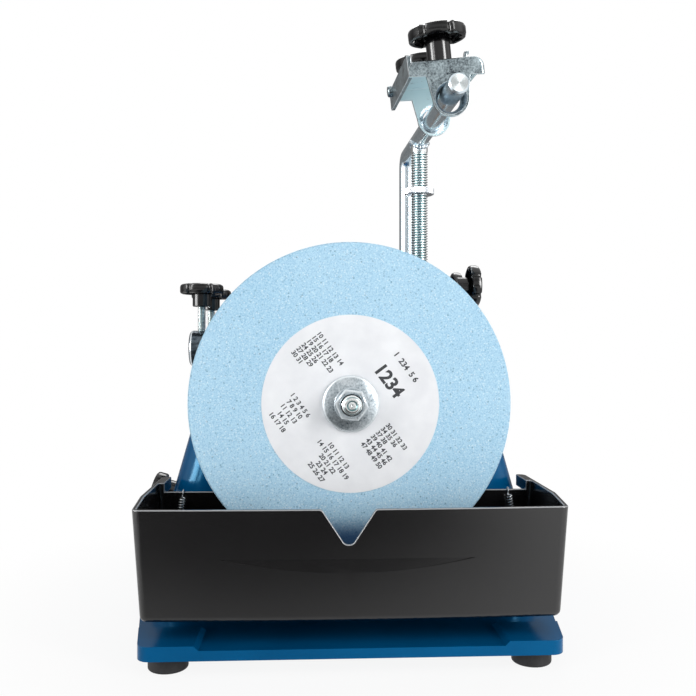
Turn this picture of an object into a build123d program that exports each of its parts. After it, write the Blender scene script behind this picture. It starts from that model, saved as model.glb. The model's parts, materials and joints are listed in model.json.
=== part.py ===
from build123d import *
import os
from math import atan, cos, degrees, pi, radians, sin, sqrt, tan

# Wet sharpening machine in millimetres. +Z is up and the stone faces -Y.
# The origin is the centre of the footprint, on the surface that the feet stand on.

# Clearances
SEAT = 0.02  # fixed piece in its hole, radial
RUN = 0.05  # shaft or screw turning or sliding in its hole, radial
FREE = 0.4  # moving faces that never touch

# Spindle and stone
SPINDLE_Z = 156.0
STONE_FACE_Y = -102.0
STONE_DIA = 200.0
STONE_WIDTH = 40.0
STONE_CHAMFER = 0.8
STUB_DIA = 12.0  # threaded ends of the spindle
SHAFT_DIA = 15.0  # spindle between its shoulders
SHAFT_END_PAST_NUT = 5.7
SHAFT_CHAMFER = 1.2
LABEL_DIA = 110.0
LABEL_BORE = 16.0
LABEL_THICKNESS = 0.3
FLANGE_DIA = 35.0
FLANGE_THICKNESS = 4.0
FLANGE_BEVEL = 1.6
NUT_ACROSS_FLATS = 18.0
NUT_HEIGHT = 8.5
NUT_COLLAR_DIA = 20.6
NUT_COLLAR_HEIGHT = 1.5
SHOULDER_GAP = 13.0  # inner flange to the housing front

# Base plate, a pressed pan with raised corner pads
FOOT_GAP = 10.0  # floor to the rim of the pan
PAN_DEPTH = 6.0
PAN_SHEET = 2.5
PAD_RISE = 2.7
PAD_WIDTH = 35.0
PAD_LENGTH = 36.0
BASE_HALF_END = 124.3
BASE_LEDGE = 8.5  # base past the housing where it is widest
BASE_HALF_LENGTH = 132.0
BASE_CORNER = 8.0
FOOT_DIA = 24.0
FOOT_INSET_X = 14.8
FOOT_INSET_Y = 18.0
FOOT_ROUND = 1.5
FOOT_STUD_DIA = 5.0
FOOT_NUT_FLATS = 8.0
FOOT_NUT_HEIGHT = 4.0
FOOT_RECESS_DIA = 12.0
FOOT_RECESS_DEPTH = 8.0

# Housing
HOUSING_DEPTH = 130.0
HOUSING_HALF_BOTTOM = 143.0
HOUSING_WALL = 2.5
SIDE_SLOPE = 16.0  # degrees from upright
HOUSING_CORNER = 28.0
HOUSING_TOP_ROUND = 10.0
BOSS_DIA = 11.0
BOSS_HEIGHT = 30.0
BOSS_INSET = 12.0
BOSS_SPREAD = 50.0
HOUSING_SCREW_DIA = 5.0
HOUSING_SCREW_LENGTH = 22.0
SCREW_HEAD_DIA = 9.0
SCREW_HEAD_HEIGHT = 2.6

# Spindle bushes
BUSH_DIA = 26.0
BUSH_FLANGE_DIA = 40.0
BUSH_FLANGE = 5.0
FRONT_BUSH_LENGTH = 20.0
REAR_BUSH_INSIDE = 2.0

# Friction drive
DRIVE_DIA = 105.0
DRIVE_WIDTH = 14.0
DRIVE_FROM_BACK = 3.5  # tyre to the inside of the back wall
DRIVE_HEADROOM = 5.0  # tyre to the inside of the top
TYRE_THICKNESS = 4.5
DRIVE_RIM = 4.0
DRIVE_WEB = 5.0
DRIVE_HUB_DIA = 28.0
DRIVE_HUB_LENGTH = 22.0
DRIVE_HOLES = 5
DRIVE_PIN_DIA = 4.0
ROLLER_DIA = 10.0
FRICTION_GAP = 0.3
MOTOR_BEARING = 228.0  # degrees, seen from the front, spindle to motor

# Motor
STATOR_DIA = 80.0
MOTOR_REAR_GAP = 12.0  # rear shield to the tyre
SHIELD_THICKNESS = 10.0
MOTOR_FRONT_GAP = 5.5  # housing front wall to the front shield
ROTOR_DIA = 48.0
AIR_GAP = 0.5
ROTOR_INSET = 4.0  # rotor shorter than the stator at each end
ROTOR_SHAFT_DIA = 8.0
ROLLER_SEAT_DIA = 6.0
BRACKET_SHEET = 3.0
BRACKET_WIDTH = 60.0
BRACKET_HOLE_DIA = 18.0
MOTOR_BOLT_DIA = 4.0
MOTOR_BOLT_INSET = 5.0
CAPACITOR_DIA = 30.0
CAPACITOR_LENGTH = 55.0
CAPACITOR_INSET = 65.0
CAPACITOR_FROM_FRONT = 60.0
CLAMP_SHEET = 1.5
CLAMP_WIDTH = 16.0

# Switch and cord gland
SWITCH_FROM_FRONT = 40.0
SWITCH_Z = 84.0
SWITCH_SIDE = 23.0
SWITCH_DEPTH = 22.0
SWITCH_NECK_DIA = 10.0
SWITCH_SHAFT_DIA = 6.0
SWITCH_KNOB_DIA = 25.0
SWITCH_KNOB_DISC = 8.5
SWITCH_HUB_DIA = 18.0
SWITCH_HUB = 8.0
SWITCH_LOBES = 8
GLAND_INSET = 53.0
GLAND_Z = 42.0
GLAND_DIA = 16.0
GLAND_BORE = 7.0
GLAND_HEX = 20.0
GLAND_HEX_HEIGHT = 6.0
GLAND_NOSE = 8.0

# Honing wheel
HONING_DIA = 200.0
HONING_WIDTH = 30.0
HONING_GAP = 2.0  # rear bush to the inner washer
LEATHER = 3.0
HONING_RIM = 6.0
HONING_WEB = 7.0
HONING_HUB_DIA = 44.0
HONING_RIBS = 6
HONING_WASHER_DIA = 36.0
HONING_WASHER = 3.0
HAND_NUT_DIA = 44.0
HAND_NUT_DISC = 13.0
HAND_NUT_HUB_DIA = 26.0
HAND_NUT_HUB = 7.0
STUB_IN_HAND_NUT = 14.0

# Sleeves for the tool support
ROD_DIA = 12.0
SLEEVE_SPACING = 56.0
SLEEVE_FROM_FRONT = 53.0  # housing front to midway between the sleeves
TOP_SLEEVE_INSET = 31.85  # front one, from the edge of the top
TOP_SLEEVE_DIA = 22.0
TOP_SLEEVE_RISE = 29.0
TOP_SLEEVE_DROP = 30.0
TOP_SLEEVE_COLLAR_DIA = 30.0
TOP_SLEEVE_COLLAR = 4.0
SIDE_SLEEVE_DROP = 26.0  # top of the housing to the axis
SIDE_SLEEVE_DIA = 25.5
SIDE_SLEEVE_REACH = 16.9  # out of the wall at the axis
SIDE_SLEEVE_LENGTH = 52.0
SLEEVE_CHAMFER = 1.5
SIDE_BORE_PLAY = 0.1  # radial

# Clamp knobs
CLAMP_SCREW_DIA = 6.0
CLAMP_DISC_DIA = 30.5
CLAMP_DISC = 7.0
CLAMP_HUB_DIA = 13.0
CLAMP_HUB = 9.0
KNOB_LOBES = 6
SCREW_IN_HUB = 10.0
SIDE_SCREW_FROM_END = 8.0
SIDE_HUB_GAP = 17.05  # sleeve to the hub
TOP_SCREW_DROP = 10.0  # end of the sleeve to the screw
TOP_HUB_GAP = 16.0  # sleeve to the hub

# Tool support, measured from the front leg and turned about it
SUPPORT_TURN = 2.4  # degrees
BAR_RISE = 124.2  # above the housing
BAR_REACH = 127.8
LEG_PAST_SLEEVE = 2.0
BEND_RADIUS = 9.0
BAR_CHAMFER = 1.0
ADJUST_NUT_DIA = 21.0
ADJUST_NUT = 4.7
ADJUST_NUT_DROP = 39.5  # bar axis to the underside of the nut

# Jig hanging loosely on the bar, measured from the bar's axis at the front cheek
JIG_FROM_TIP = 20.0
JIG_LENGTH = 92.0
JIG_SPAN = 62.5  # over both cheeks
JIG_TILT = 6.5
JIG_PITCH = 4.0
JIG_YAW = 2.0
JIG_SHEET = 2.5
JIG_HOLE_SLACK = 7.0  # hole wider than the rod
JIG_HOLE_X = -0.5
JIG_LOBE_WALL = 1.4
JIG_LEFT = 24.1
JIG_RIGHT = 21.2
JIG_TOP = 23.0
JIG_LEFT_DROP = 8.9
JIG_RIGHT_DROP = 10.8
JIG_END_ROUND = 6.0
JIG_CHEEK_LEFT = 14.2
JIG_CHEEK_RIGHT = 12.6
JIG_KNOB_DIA = 35.0
JIG_DISC = 7.2
JIG_HUB_DIA = 14.7
JIG_HUB = 14.4
JIG_SCREW_DIA = 6.0
JIG_SCREW_REACH = 10.0
JIG_KNOB_X = -2.5
JIG_KNOB_Y = 14.0  # from the front cheek
JIG_REAR_KNOB_INSET = 15.6  # from the rear end
JIG_TAB_X = 9.8
JIG_TAB_Y = 5.0
JIG_TAB_RISE = 4.2
JIG_TAB_SHEET = 1.4
SIDE_PLATE_SETBACK = 1.0  # from the rear end
SIDE_PLATE_DROP = 8.8  # below the top plate's upper face
SIDE_PLATE_RISE = 4.5
SIDE_PLATE_ROUND = 2.0
SIDE_PLATE_SCREW_INSET = 12.0
SIDE_PLATE_SCREW_RISE = 2.1
SIDE_PLATE_SCREW_DIA = 3.5
SIDE_PLATE_HEAD_DIA = 7.5
SIDE_PLATE_HEAD = 2.8
SIDE_PLATE_SCREW_REACH = 6.0

# Water tray
TRAY_RIM_Z = 100.0
TRAY_FRONT_DROP = 3.0  # front rim below the side rims
TRAY_BACK_DROP = 6.0
TRAY_DEPTH = 69.0
TRAY_SIDE_DRAFT = 4.6
TRAY_FRONT_ROOM = 28.5  # front edge to the stone
TRAY_BACK_GAP = 6.5  # back wall to the housing front
TRAY_DRAFT = 2.0
TRAY_BOW = 3.0
TRAY_WALL = 2.5
TRAY_CORNER = 5.0
TRAY_BOTTOM_ROUND = 4.0
TRAY_RAMP = 24.0
FRONT_X = -2.5  # middle of the spout and the grip
SPOUT_WIDTH = 31.5
SPOUT_DEPTH = 20.6
SPOUT_FLAT = 4.5
SPOUT_LIP = 3.0
GRIP_WIDTH = 149.0
GRIP_HEIGHT = 8.2
GRIP_DROP = 32.0
GRIP_DEPTH = 1.2
PRONG_GAP = 3.4  # prong to the housing at the rim
PRONG_WIDTH = 6.3
PRONG_HEIGHT = 8.0
PRONG_PAST_FRONT = 18.0  # behind the housing front
PRONG_ROUND = 5.0
HANGER_X = 60.0
HANGER_WIDTH = 24.0
HANGER_SHEET = 1.6
HANGER_DROP = 24.0  # back rim to the underside
HANGER_HEIGHT = 16.0
HANGER_LIP = 7.0
HANGER_SLOT = 2.6
LUG_WIDTH = 20.0

# Sprung wires at the rear corners of the tray
SPRING_INSET = 16.1
SPRING_TURNS = 8
SPRING_PITCH = 1.75
SPRING_WIRE = 0.9
SPRING_MEAN_DIA = 3.6
SPRING_LEAN = 9.0
SPRING_DROP = 20.0  # back rim to the lug
SPRING_WALL_GAP = 3.2
SPRING_LUG = 3.0

# Places worked out from the values above
BASE_TOP = FOOT_GAP + PAN_DEPTH
PAD_UNDER = BASE_TOP + PAD_RISE - PAN_SHEET
BASE_HALF_MIDDLE = HOUSING_HALF_BOTTOM + BASE_LEDGE
FOOT_X = BASE_HALF_END - FOOT_INSET_X
FOOT_Y = BASE_HALF_LENGTH - FOOT_INSET_Y
STONE_BACK_Y = STONE_FACE_Y + STONE_WIDTH
SHOULDER_Y = STONE_BACK_Y + FLANGE_THICKNESS
HOUSING_FRONT = SHOULDER_Y + SHOULDER_GAP
HOUSING_BACK = HOUSING_FRONT + HOUSING_DEPTH
HOUSING_MIDDLE = (HOUSING_FRONT + HOUSING_BACK) / 2
HOUSING_TOP_Z = SPINDLE_Z + DRIVE_DIA / 2 + DRIVE_HEADROOM + HOUSING_WALL
SLOPE = tan(radians(SIDE_SLOPE))
LABEL_FACE = STONE_FACE_Y - LABEL_THICKNESS
NUT_BACK = LABEL_FACE - FLANGE_THICKNESS
NUT_FRONT = NUT_BACK - NUT_COLLAR_HEIGHT - NUT_HEIGHT
SPINDLE_FRONT = NUT_FRONT - SHAFT_END_PAST_NUT
REAR_SHOULDER = HOUSING_BACK + BUSH_FLANGE + HONING_GAP
HONING_FRONT = REAR_SHOULDER + HONING_WASHER
HONING_BACK = HONING_FRONT + HONING_WIDTH
HAND_NUT_FRONT = HONING_BACK + HONING_WASHER
SPINDLE_BACK = HAND_NUT_FRONT + STUB_IN_HAND_NUT
TYRE_BACK = HOUSING_BACK - HOUSING_WALL - DRIVE_FROM_BACK
TYRE_FRONT = TYRE_BACK - DRIVE_WIDTH
DRIVE_CENTRES = DRIVE_DIA / 2 + ROLLER_DIA / 2 + FRICTION_GAP
MOTOR_X = DRIVE_CENTRES * cos(radians(MOTOR_BEARING))
MOTOR_Z = SPINDLE_Z + DRIVE_CENTRES * sin(radians(MOTOR_BEARING))
MOTOR_FRONT = HOUSING_FRONT + HOUSING_WALL + MOTOR_FRONT_GAP
MOTOR_BACK = TYRE_FRONT - MOTOR_REAR_GAP
STATOR_FRONT = MOTOR_FRONT + SHIELD_THICKNESS
STATOR_BACK = MOTOR_BACK - SHIELD_THICKNESS
MOTOR_BOLT_CIRCLE = STATOR_DIA - 2 * MOTOR_BOLT_INSET
CAPACITOR_X = HOUSING_HALF_BOTTOM - CAPACITOR_INSET
CAPACITOR_Y = HOUSING_FRONT + CAPACITOR_FROM_FRONT
SWITCH_Y = HOUSING_FRONT + SWITCH_FROM_FRONT
GLAND_X = GLAND_INSET - HOUSING_HALF_BOTTOM


def hood_half(z):
    """Half width of the housing at a height."""
    return HOUSING_HALF_BOTTOM - SLOPE * (z - BASE_TOP)


FRONT_SLEEVE_Y = HOUSING_FRONT + SLEEVE_FROM_FRONT - SLEEVE_SPACING / 2
REAR_SLEEVE_Y = HOUSING_FRONT + SLEEVE_FROM_FRONT + SLEEVE_SPACING / 2
TOP_SLEEVE_X = hood_half(HOUSING_TOP_Z) - TOP_SLEEVE_INSET
TOP_SLEEVE_TOP_Z = HOUSING_TOP_Z + TOP_SLEEVE_RISE
TOP_SLEEVE_BOTTOM_Z = HOUSING_TOP_Z - TOP_SLEEVE_DROP
SIDE_SLEEVE_Z = HOUSING_TOP_Z - SIDE_SLEEVE_DROP
SIDE_SLEEVE_OUTER_X = -hood_half(SIDE_SLEEVE_Z) - SIDE_SLEEVE_REACH
SIDE_SLEEVE_INNER_X = SIDE_SLEEVE_OUTER_X + SIDE_SLEEVE_LENGTH
SIDE_BORE_DIA = ROD_DIA + 2 * SIDE_BORE_PLAY
SIDE_SCREW_X = SIDE_SLEEVE_OUTER_X + SIDE_SCREW_FROM_END
SIDE_HUB_Z = SIDE_SLEEVE_Z + SIDE_SLEEVE_DIA / 2 + SIDE_HUB_GAP
TOP_SCREW_Z = TOP_SLEEVE_TOP_Z - TOP_SCREW_DROP
TOP_HUB_REACH = TOP_SLEEVE_DIA / 2 + TOP_HUB_GAP
BAR_Z = HOUSING_TOP_Z + BAR_RISE
LEG_BOTTOM_Z = TOP_SLEEVE_BOTTOM_Z - LEG_PAST_SLEEVE
ADJUST_NUT_Z = BAR_Z - ADJUST_NUT_DROP
JIG_HOLE_DIA = ROD_DIA + JIG_HOLE_SLACK
JIG_LOBE_DIA = JIG_HOLE_DIA + 2 * JIG_LOBE_WALL
JIG_REAR_KNOB_Y = JIG_LENGTH - JIG_REAR_KNOB_INSET
TRAY_FRONT_Z = TRAY_RIM_Z - TRAY_FRONT_DROP
TRAY_BACK_Z = TRAY_RIM_Z - TRAY_BACK_DROP
TRAY_BOTTOM_Z = TRAY_RIM_Z - TRAY_DEPTH
TRAY_HALF_TOP = hood_half(TRAY_RIM_Z) + PRONG_GAP + PRONG_WIDTH
TRAY_HALF_BOTTOM = TRAY_HALF_TOP - TRAY_SIDE_DRAFT
TRAY_FRONT_Y = STONE_FACE_Y - TRAY_FRONT_ROOM
TRAY_BACK = HOUSING_FRONT - TRAY_BACK_GAP
HANGER_Z = TRAY_BACK_Z - HANGER_DROP
SPRING_X = TRAY_HALF_TOP - SPRING_INSET
SPRING_FOOT_Z = TRAY_BACK_Z - SPRING_DROP


def rod_x(radius, x0, x1, y, z):
    """Cylinder along X."""
    return Pos((x0 + x1) / 2, y, z) * Rot(0, 90, 0) * Cylinder(radius, x1 - x0)


def rod_y(radius, y0, y1, x=0, z=SPINDLE_Z):
    """Cylinder along Y, on the spindle unless told otherwise."""
    return Pos(x, (y0 + y1) / 2, z) * Rot(90, 0, 0) * Cylinder(radius, y1 - y0)


def rod_z(radius, z0, z1, x=0, y=0):
    """Cylinder along Z."""
    return Pos(x, y, (z0 + z1) / 2) * Cylinder(radius, z1 - z0)


def ring_y(outer, inner, y0, y1, x=0, z=SPINDLE_Z):
    """Tube along Y."""
    return rod_y(outer, y0, y1, x, z) - rod_y(inner, y0, y1, x, z)


def block(x0, x1, y0, y1, z0, z1):
    """Box between two corners."""
    return Pos((x0 + x1) / 2, (y0 + y1) / 2, (z0 + z1) / 2) * Box(x1 - x0, y1 - y0, z1 - z0)


def prism_x(points, x0, x1):
    """Closed outline of (y, z) points, drawn out along X."""
    face = make_face(Polyline(*points, close=True))
    return Pos(x0, 0, 0) * extrude(Plane.YZ * face, x1 - x0)


def prism_y(face, y0, y1):
    """Flat shape drawn in (x, z), drawn out along +Y."""
    return Pos(0, y1, 0) * extrude(Plane.XZ * face, y1 - y0)


def edges_at(shape, axis, place):
    """Edges that lie wholly at one place along an axis."""
    return shape.edges().filter_by_position(axis, place - 0.01, place + 0.01)


def hex_prism(flats, height):
    """Hexagonal prism standing on z = 0 with chamfered top corners."""
    corner_radius = flats / sqrt(3)
    cap = Pos(0, 0, height / 2) * Cylinder(corner_radius, height)
    cap = chamfer(edges_at(cap, Axis.Z, height), (corner_radius - flats / 2) * 0.9)
    return extrude(RegularPolygon(corner_radius, 6), height) & cap


def star_knob(disc_dia, disc, hub_dia, hub, lobes, hole_dia, hole_depth):
    """Star knob on a hub that stands on z = 0: wide lobes, narrow notches, a blind hole for its screw."""
    radius = disc_dia / 2
    outline = Circle(radius)
    for index in range(lobes):
        outline -= Rot(0, 0, 360 / lobes * index) * Pos(radius, 0) * Circle(radius * 0.11)
    outline = fillet(outline.vertices(), radius * 0.06)
    head = Pos(0, 0, hub) * extrude(outline, disc)
    head = chamfer(edges_at(head, Axis.Z, hub + disc), radius * 0.06)
    head += rod_z(hub_dia / 2, 0, hub + disc / 2)
    return head - rod_z(hole_dia / 2, -FREE, hole_depth)


def screw_z(diameter, tip, top):
    """Plain screw shank along Z with a chamfered tip."""
    shank = rod_z(diameter / 2, tip, top)
    return chamfer(edges_at(shank, Axis.Z, tip), diameter * 0.12)


# Base

def base_plan(inset):
    """Six-sided plan of the base, widest beside the housing."""
    middle = BASE_HALF_MIDDLE - inset
    end = BASE_HALF_END - inset
    length = BASE_HALF_LENGTH - inset
    widest = HOUSING_MIDDLE
    corners = [(middle, widest), (end, length), (-end, length)]
    corners += [(-middle, widest), (-end, -length), (end, -length)]
    plan = make_face(Polyline(*corners, close=True))
    return fillet(plan.vertices(), BASE_CORNER - inset)


def corner_pads():
    """Four raised pads with sloping inner sides, larger than the plan outside."""
    spare = 2 * PAN_DEPTH
    pads = Part()
    for side in (-1, 1):
        for end in (-1, 1):
            plan = Rectangle(PAD_WIDTH + spare, PAD_LENGTH + spare)
            x = side * (BASE_HALF_END - PAD_WIDTH / 2 + spare / 2)
            y = end * (BASE_HALF_LENGTH - PAD_LENGTH / 2 + spare / 2)
            pads += Pos(x, y, BASE_TOP) * extrude(plan, PAD_RISE, taper=45)
    return pads


def foot_places():
    return [(x, y) for x in (-FOOT_X, FOOT_X) for y in (-FOOT_Y, FOOT_Y)]


def boss_places():
    x = HOUSING_HALF_BOTTOM - BOSS_INSET
    ends = (HOUSING_MIDDLE - BOSS_SPREAD / 2, HOUSING_MIDDLE + BOSS_SPREAD / 2)
    return [(side * x, y) for side in (-1, 1) for y in ends]


def base_plate():
    height = PAN_DEPTH + PAD_RISE
    outside = Pos(0, 0, FOOT_GAP) * extrude(base_plan(0), height)
    inside = Pos(0, 0, FOOT_GAP) * extrude(base_plan(PAN_SHEET), height)
    pads = corner_pads()
    pan = Pos(0, 0, FOOT_GAP) * extrude(base_plan(0), PAN_DEPTH) + (pads & outside)
    pan -= Pos(0, 0, FOOT_GAP) * extrude(base_plan(PAN_SHEET), PAN_DEPTH - PAN_SHEET)
    pan -= Pos(0, 0, -PAN_SHEET) * pads & inside
    for x, y in foot_places():
        pan += rod_z(FOOT_STUD_DIA / 2, FOOT_RECESS_DEPTH / 2, PAD_UNDER, x, y)
    for x, y in boss_places():
        pan -= rod_z(HOUSING_SCREW_DIA / 2 + RUN, FOOT_GAP, BASE_TOP, x, y)
    return pan


def feet():
    foot = rod_z(FOOT_DIA / 2, 0, PAD_UNDER)
    foot = fillet(edges_at(foot, Axis.Z, 0), FOOT_ROUND)
    foot -= rod_z(FOOT_RECESS_DIA / 2, -FREE, FOOT_RECESS_DEPTH)
    foot -= rod_z(FOOT_STUD_DIA / 2 + SEAT, 0, PAD_UNDER)
    return Part() + [Pos(x, y, 0) * foot for x, y in foot_places()]


def foot_nuts():
    nut = hex_prism(FOOT_NUT_FLATS, FOOT_NUT_HEIGHT)
    nut -= rod_z(FOOT_STUD_DIA / 2 + SEAT, 0, FOOT_NUT_HEIGHT)
    z = FOOT_RECESS_DEPTH - FOOT_NUT_HEIGHT
    return Part() + [Pos(x, y, z) * nut for x, y in foot_places()]


# Housing

def hood(inset):
    """Loft with upright front and back, sloping sides and conical corners, taken in by a wall."""
    side_inset = inset / cos(radians(SIDE_SLOPE))
    top = HOUSING_TOP_Z - inset
    depth = HOUSING_DEPTH - 2 * inset
    corner = HOUSING_CORNER - inset
    half_bottom = HOUSING_HALF_BOTTOM - side_inset
    half_top = half_bottom - SLOPE * (top - BASE_TOP)
    lower = Pos(0, HOUSING_MIDDLE, BASE_TOP) * RectangleRounded(2 * half_bottom, depth, corner)
    upper = Pos(0, HOUSING_MIDDLE, top) * RectangleRounded(2 * half_top, depth, corner)
    body = loft([lower, upper], ruled=True)
    return fillet(edges_at(body, Axis.Z, top), HOUSING_TOP_ROUND - inset)


def wall_frame():
    """Place on the left wall at the switch: local +Z points out of the wall."""
    return Pos(-hood_half(SWITCH_Z), SWITCH_Y, SWITCH_Z) * Rot(0, SIDE_SLOPE - 90, 0)


def housing():
    body = hood(0)
    shell = body - hood(HOUSING_WALL)
    for x, y in boss_places():
        shell += rod_z(BOSS_DIA / 2, BASE_TOP, BASE_TOP + BOSS_HEIGHT, x, y) & body
    for x, y in boss_places():
        shell -= rod_z(HOUSING_SCREW_DIA / 2 + SEAT, BASE_TOP, BASE_TOP + HOUSING_SCREW_LENGTH, x, y)
    shell -= rod_y(BUSH_DIA / 2 + SEAT, HOUSING_FRONT - FREE, HOUSING_FRONT + 2 * HOUSING_WALL)
    shell -= rod_y(BUSH_DIA / 2 + SEAT, HOUSING_BACK - 2 * HOUSING_WALL, HOUSING_BACK + FREE)
    top, side_ends = HOUSING_TOP_Z, (SIDE_SLEEVE_OUTER_X, SIDE_SLEEVE_INNER_X)
    for y in (FRONT_SLEEVE_Y, REAR_SLEEVE_Y):
        hole = rod_z(TOP_SLEEVE_DIA / 2 + SEAT, top - 2 * HOUSING_WALL, top + FREE, 0, y - FRONT_SLEEVE_Y)
        shell -= support_frame() * hole
        shell -= rod_x(SIDE_SLEEVE_DIA / 2 + SEAT, *side_ends, y, SIDE_SLEEVE_Z)
    shell -= wall_frame() * Cylinder(SWITCH_NECK_DIA / 2 + SEAT, 4 * HOUSING_WALL)
    gland_hole = GLAND_DIA / 2 + SEAT
    shell -= rod_y(gland_hole, HOUSING_BACK - 2 * HOUSING_WALL, HOUSING_BACK + FREE, GLAND_X, GLAND_Z)
    return shell


def housing_screws():
    under = BASE_TOP - PAN_SHEET
    screw = rod_z(HOUSING_SCREW_DIA / 2, under, BASE_TOP + HOUSING_SCREW_LENGTH - FREE)
    screw += rod_z(SCREW_HEAD_DIA / 2, under - SCREW_HEAD_HEIGHT, under)
    return Part() + [Pos(x, y, 0) * screw for x, y in boss_places()]


def front_bush():
    start = HOUSING_FRONT - BUSH_FLANGE
    body = rod_y(BUSH_FLANGE_DIA / 2, start, HOUSING_FRONT)
    body = chamfer(edges_at(body, Axis.Y, start), BUSH_FLANGE * 0.3)
    body += rod_y(BUSH_DIA / 2, HOUSING_FRONT, start + FRONT_BUSH_LENGTH)
    return body - rod_y(SHAFT_DIA / 2 + RUN, start - FREE, start + FRONT_BUSH_LENGTH)


def rear_bush():
    end = HOUSING_BACK + BUSH_FLANGE
    start = HOUSING_BACK - HOUSING_WALL - REAR_BUSH_INSIDE
    body = rod_y(BUSH_FLANGE_DIA / 2, HOUSING_BACK, end)
    body = chamfer(edges_at(body, Axis.Y, end), BUSH_FLANGE * 0.3)
    body += rod_y(BUSH_DIA / 2, start, HOUSING_BACK)
    return body - rod_y(SHAFT_DIA / 2 + RUN, start, end + FREE)


def support_frame():
    """Local frame of the tool support: front leg on the origin, bar along local -Y."""
    return Pos(TOP_SLEEVE_X, FRONT_SLEEVE_Y, 0) * Rot(0, 0, SUPPORT_TURN)


def top_sleeve(y):
    """Upright sleeve at a place along the support."""
    sleeve = rod_z(TOP_SLEEVE_DIA / 2, TOP_SLEEVE_BOTTOM_Z, TOP_SLEEVE_TOP_Z, 0, y)
    sleeve = chamfer(edges_at(sleeve, Axis.Z, TOP_SLEEVE_TOP_Z), SLEEVE_CHAMFER)
    sleeve += rod_z(TOP_SLEEVE_COLLAR_DIA / 2, HOUSING_TOP_Z, HOUSING_TOP_Z + TOP_SLEEVE_COLLAR, 0, y)
    sleeve -= rod_z(ROD_DIA / 2 + RUN, TOP_SLEEVE_BOTTOM_Z, TOP_SLEEVE_TOP_Z, 0, y)
    sleeve -= rod_x(CLAMP_SCREW_DIA / 2 + RUN, 0, TOP_SLEEVE_DIA, y, TOP_SCREW_Z)
    return support_frame() * sleeve


def side_sleeve(y):
    sleeve = rod_x(SIDE_SLEEVE_DIA / 2, SIDE_SLEEVE_OUTER_X, SIDE_SLEEVE_INNER_X, y, SIDE_SLEEVE_Z)
    sleeve = chamfer(edges_at(sleeve, Axis.X, SIDE_SLEEVE_OUTER_X), SLEEVE_CHAMFER)
    sleeve -= rod_x(SIDE_BORE_DIA / 2, SIDE_SLEEVE_OUTER_X, SIDE_SLEEVE_INNER_X, y, SIDE_SLEEVE_Z)
    hole_top = SIDE_SLEEVE_Z + SIDE_SLEEVE_DIA
    return sleeve - rod_z(CLAMP_SCREW_DIA / 2 + RUN, SIDE_SLEEVE_Z, hole_top, SIDE_SCREW_X, y)


# Motor, switch and gland

def motor_bolt_places():
    reach = MOTOR_BOLT_CIRCLE / 2 * sin(radians(45))
    return [(MOTOR_X + x, MOTOR_Z + z) for x in (-reach, reach) for z in (-reach, reach)]


def drill_for_bolts(shape, clearance):
    for x, z in motor_bolt_places():
        shape -= rod_y(MOTOR_BOLT_DIA / 2 + clearance, HOUSING_FRONT, HOUSING_BACK, x, z)
    return shape


def motor_stator():
    inner = ROTOR_DIA / 2 + AIR_GAP
    return drill_for_bolts(ring_y(STATOR_DIA / 2, inner, STATOR_FRONT, STATOR_BACK, MOTOR_X, MOTOR_Z), SEAT)


def motor_shield(start, hollow_start, hollow_end):
    """End shield with a bearing bore and a hollow for the end of the rotor."""
    shield = rod_y(STATOR_DIA / 2, start, start + SHIELD_THICKNESS, MOTOR_X, MOTOR_Z)
    shield -= rod_y(ROTOR_DIA / 2 + AIR_GAP, hollow_start, hollow_end, MOTOR_X, MOTOR_Z)
    shield -= rod_y(ROTOR_SHAFT_DIA / 2 + RUN, HOUSING_FRONT, HOUSING_BACK, MOTOR_X, MOTOR_Z)
    return drill_for_bolts(shield, SEAT)


def motor_front_shield():
    return motor_shield(MOTOR_FRONT, STATOR_FRONT - SHIELD_THICKNESS / 2, STATOR_FRONT)


def motor_rear_shield():
    return motor_shield(STATOR_BACK, STATOR_BACK, STATOR_BACK + SHIELD_THICKNESS / 2)


def motor_bracket():
    """U-shaped bracket that stands on the base and holds both shields."""
    front, back = MOTOR_FRONT - BRACKET_SHEET, MOTOR_BACK + BRACKET_SHEET
    top = MOTOR_Z + BRACKET_WIDTH / 2
    outline = [(front, BASE_TOP), (back, BASE_TOP), (back, top), (MOTOR_BACK, top)]
    outline += [(MOTOR_BACK, BASE_TOP + BRACKET_SHEET), (MOTOR_FRONT, BASE_TOP + BRACKET_SHEET)]
    outline += [(MOTOR_FRONT, top), (front, top)]
    bracket = prism_x(outline, MOTOR_X - BRACKET_WIDTH / 2, MOTOR_X + BRACKET_WIDTH / 2)
    bracket -= rod_y(BRACKET_HOLE_DIA / 2, HOUSING_FRONT, HOUSING_BACK, MOTOR_X, MOTOR_Z)
    return drill_for_bolts(bracket, SEAT)


def motor_bolts():
    head = MOTOR_BOLT_DIA * 0.5
    start, end = MOTOR_FRONT - BRACKET_SHEET, MOTOR_BACK + BRACKET_SHEET
    bolts = []
    for x, z in motor_bolt_places():
        bolt = rod_y(MOTOR_BOLT_DIA / 2, start, end, x, z)
        bolt += rod_y(MOTOR_BOLT_DIA, start - head, start, x, z)
        bolts.append(bolt + rod_y(MOTOR_BOLT_DIA, end, end + head, x, z))
    return Part() + bolts


def capacitor_z():
    return BASE_TOP + CLAMP_SHEET + CAPACITOR_DIA / 2


def run_capacitor():
    ends = (CAPACITOR_Y - CAPACITOR_LENGTH / 2, CAPACITOR_Y + CAPACITOR_LENGTH / 2)
    can = rod_y(CAPACITOR_DIA / 2, *ends, CAPACITOR_X, capacitor_z())
    return fillet(edges_at(can, Axis.Y, ends[0]) + edges_at(can, Axis.Y, ends[1]), CLAMP_SHEET)


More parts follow.
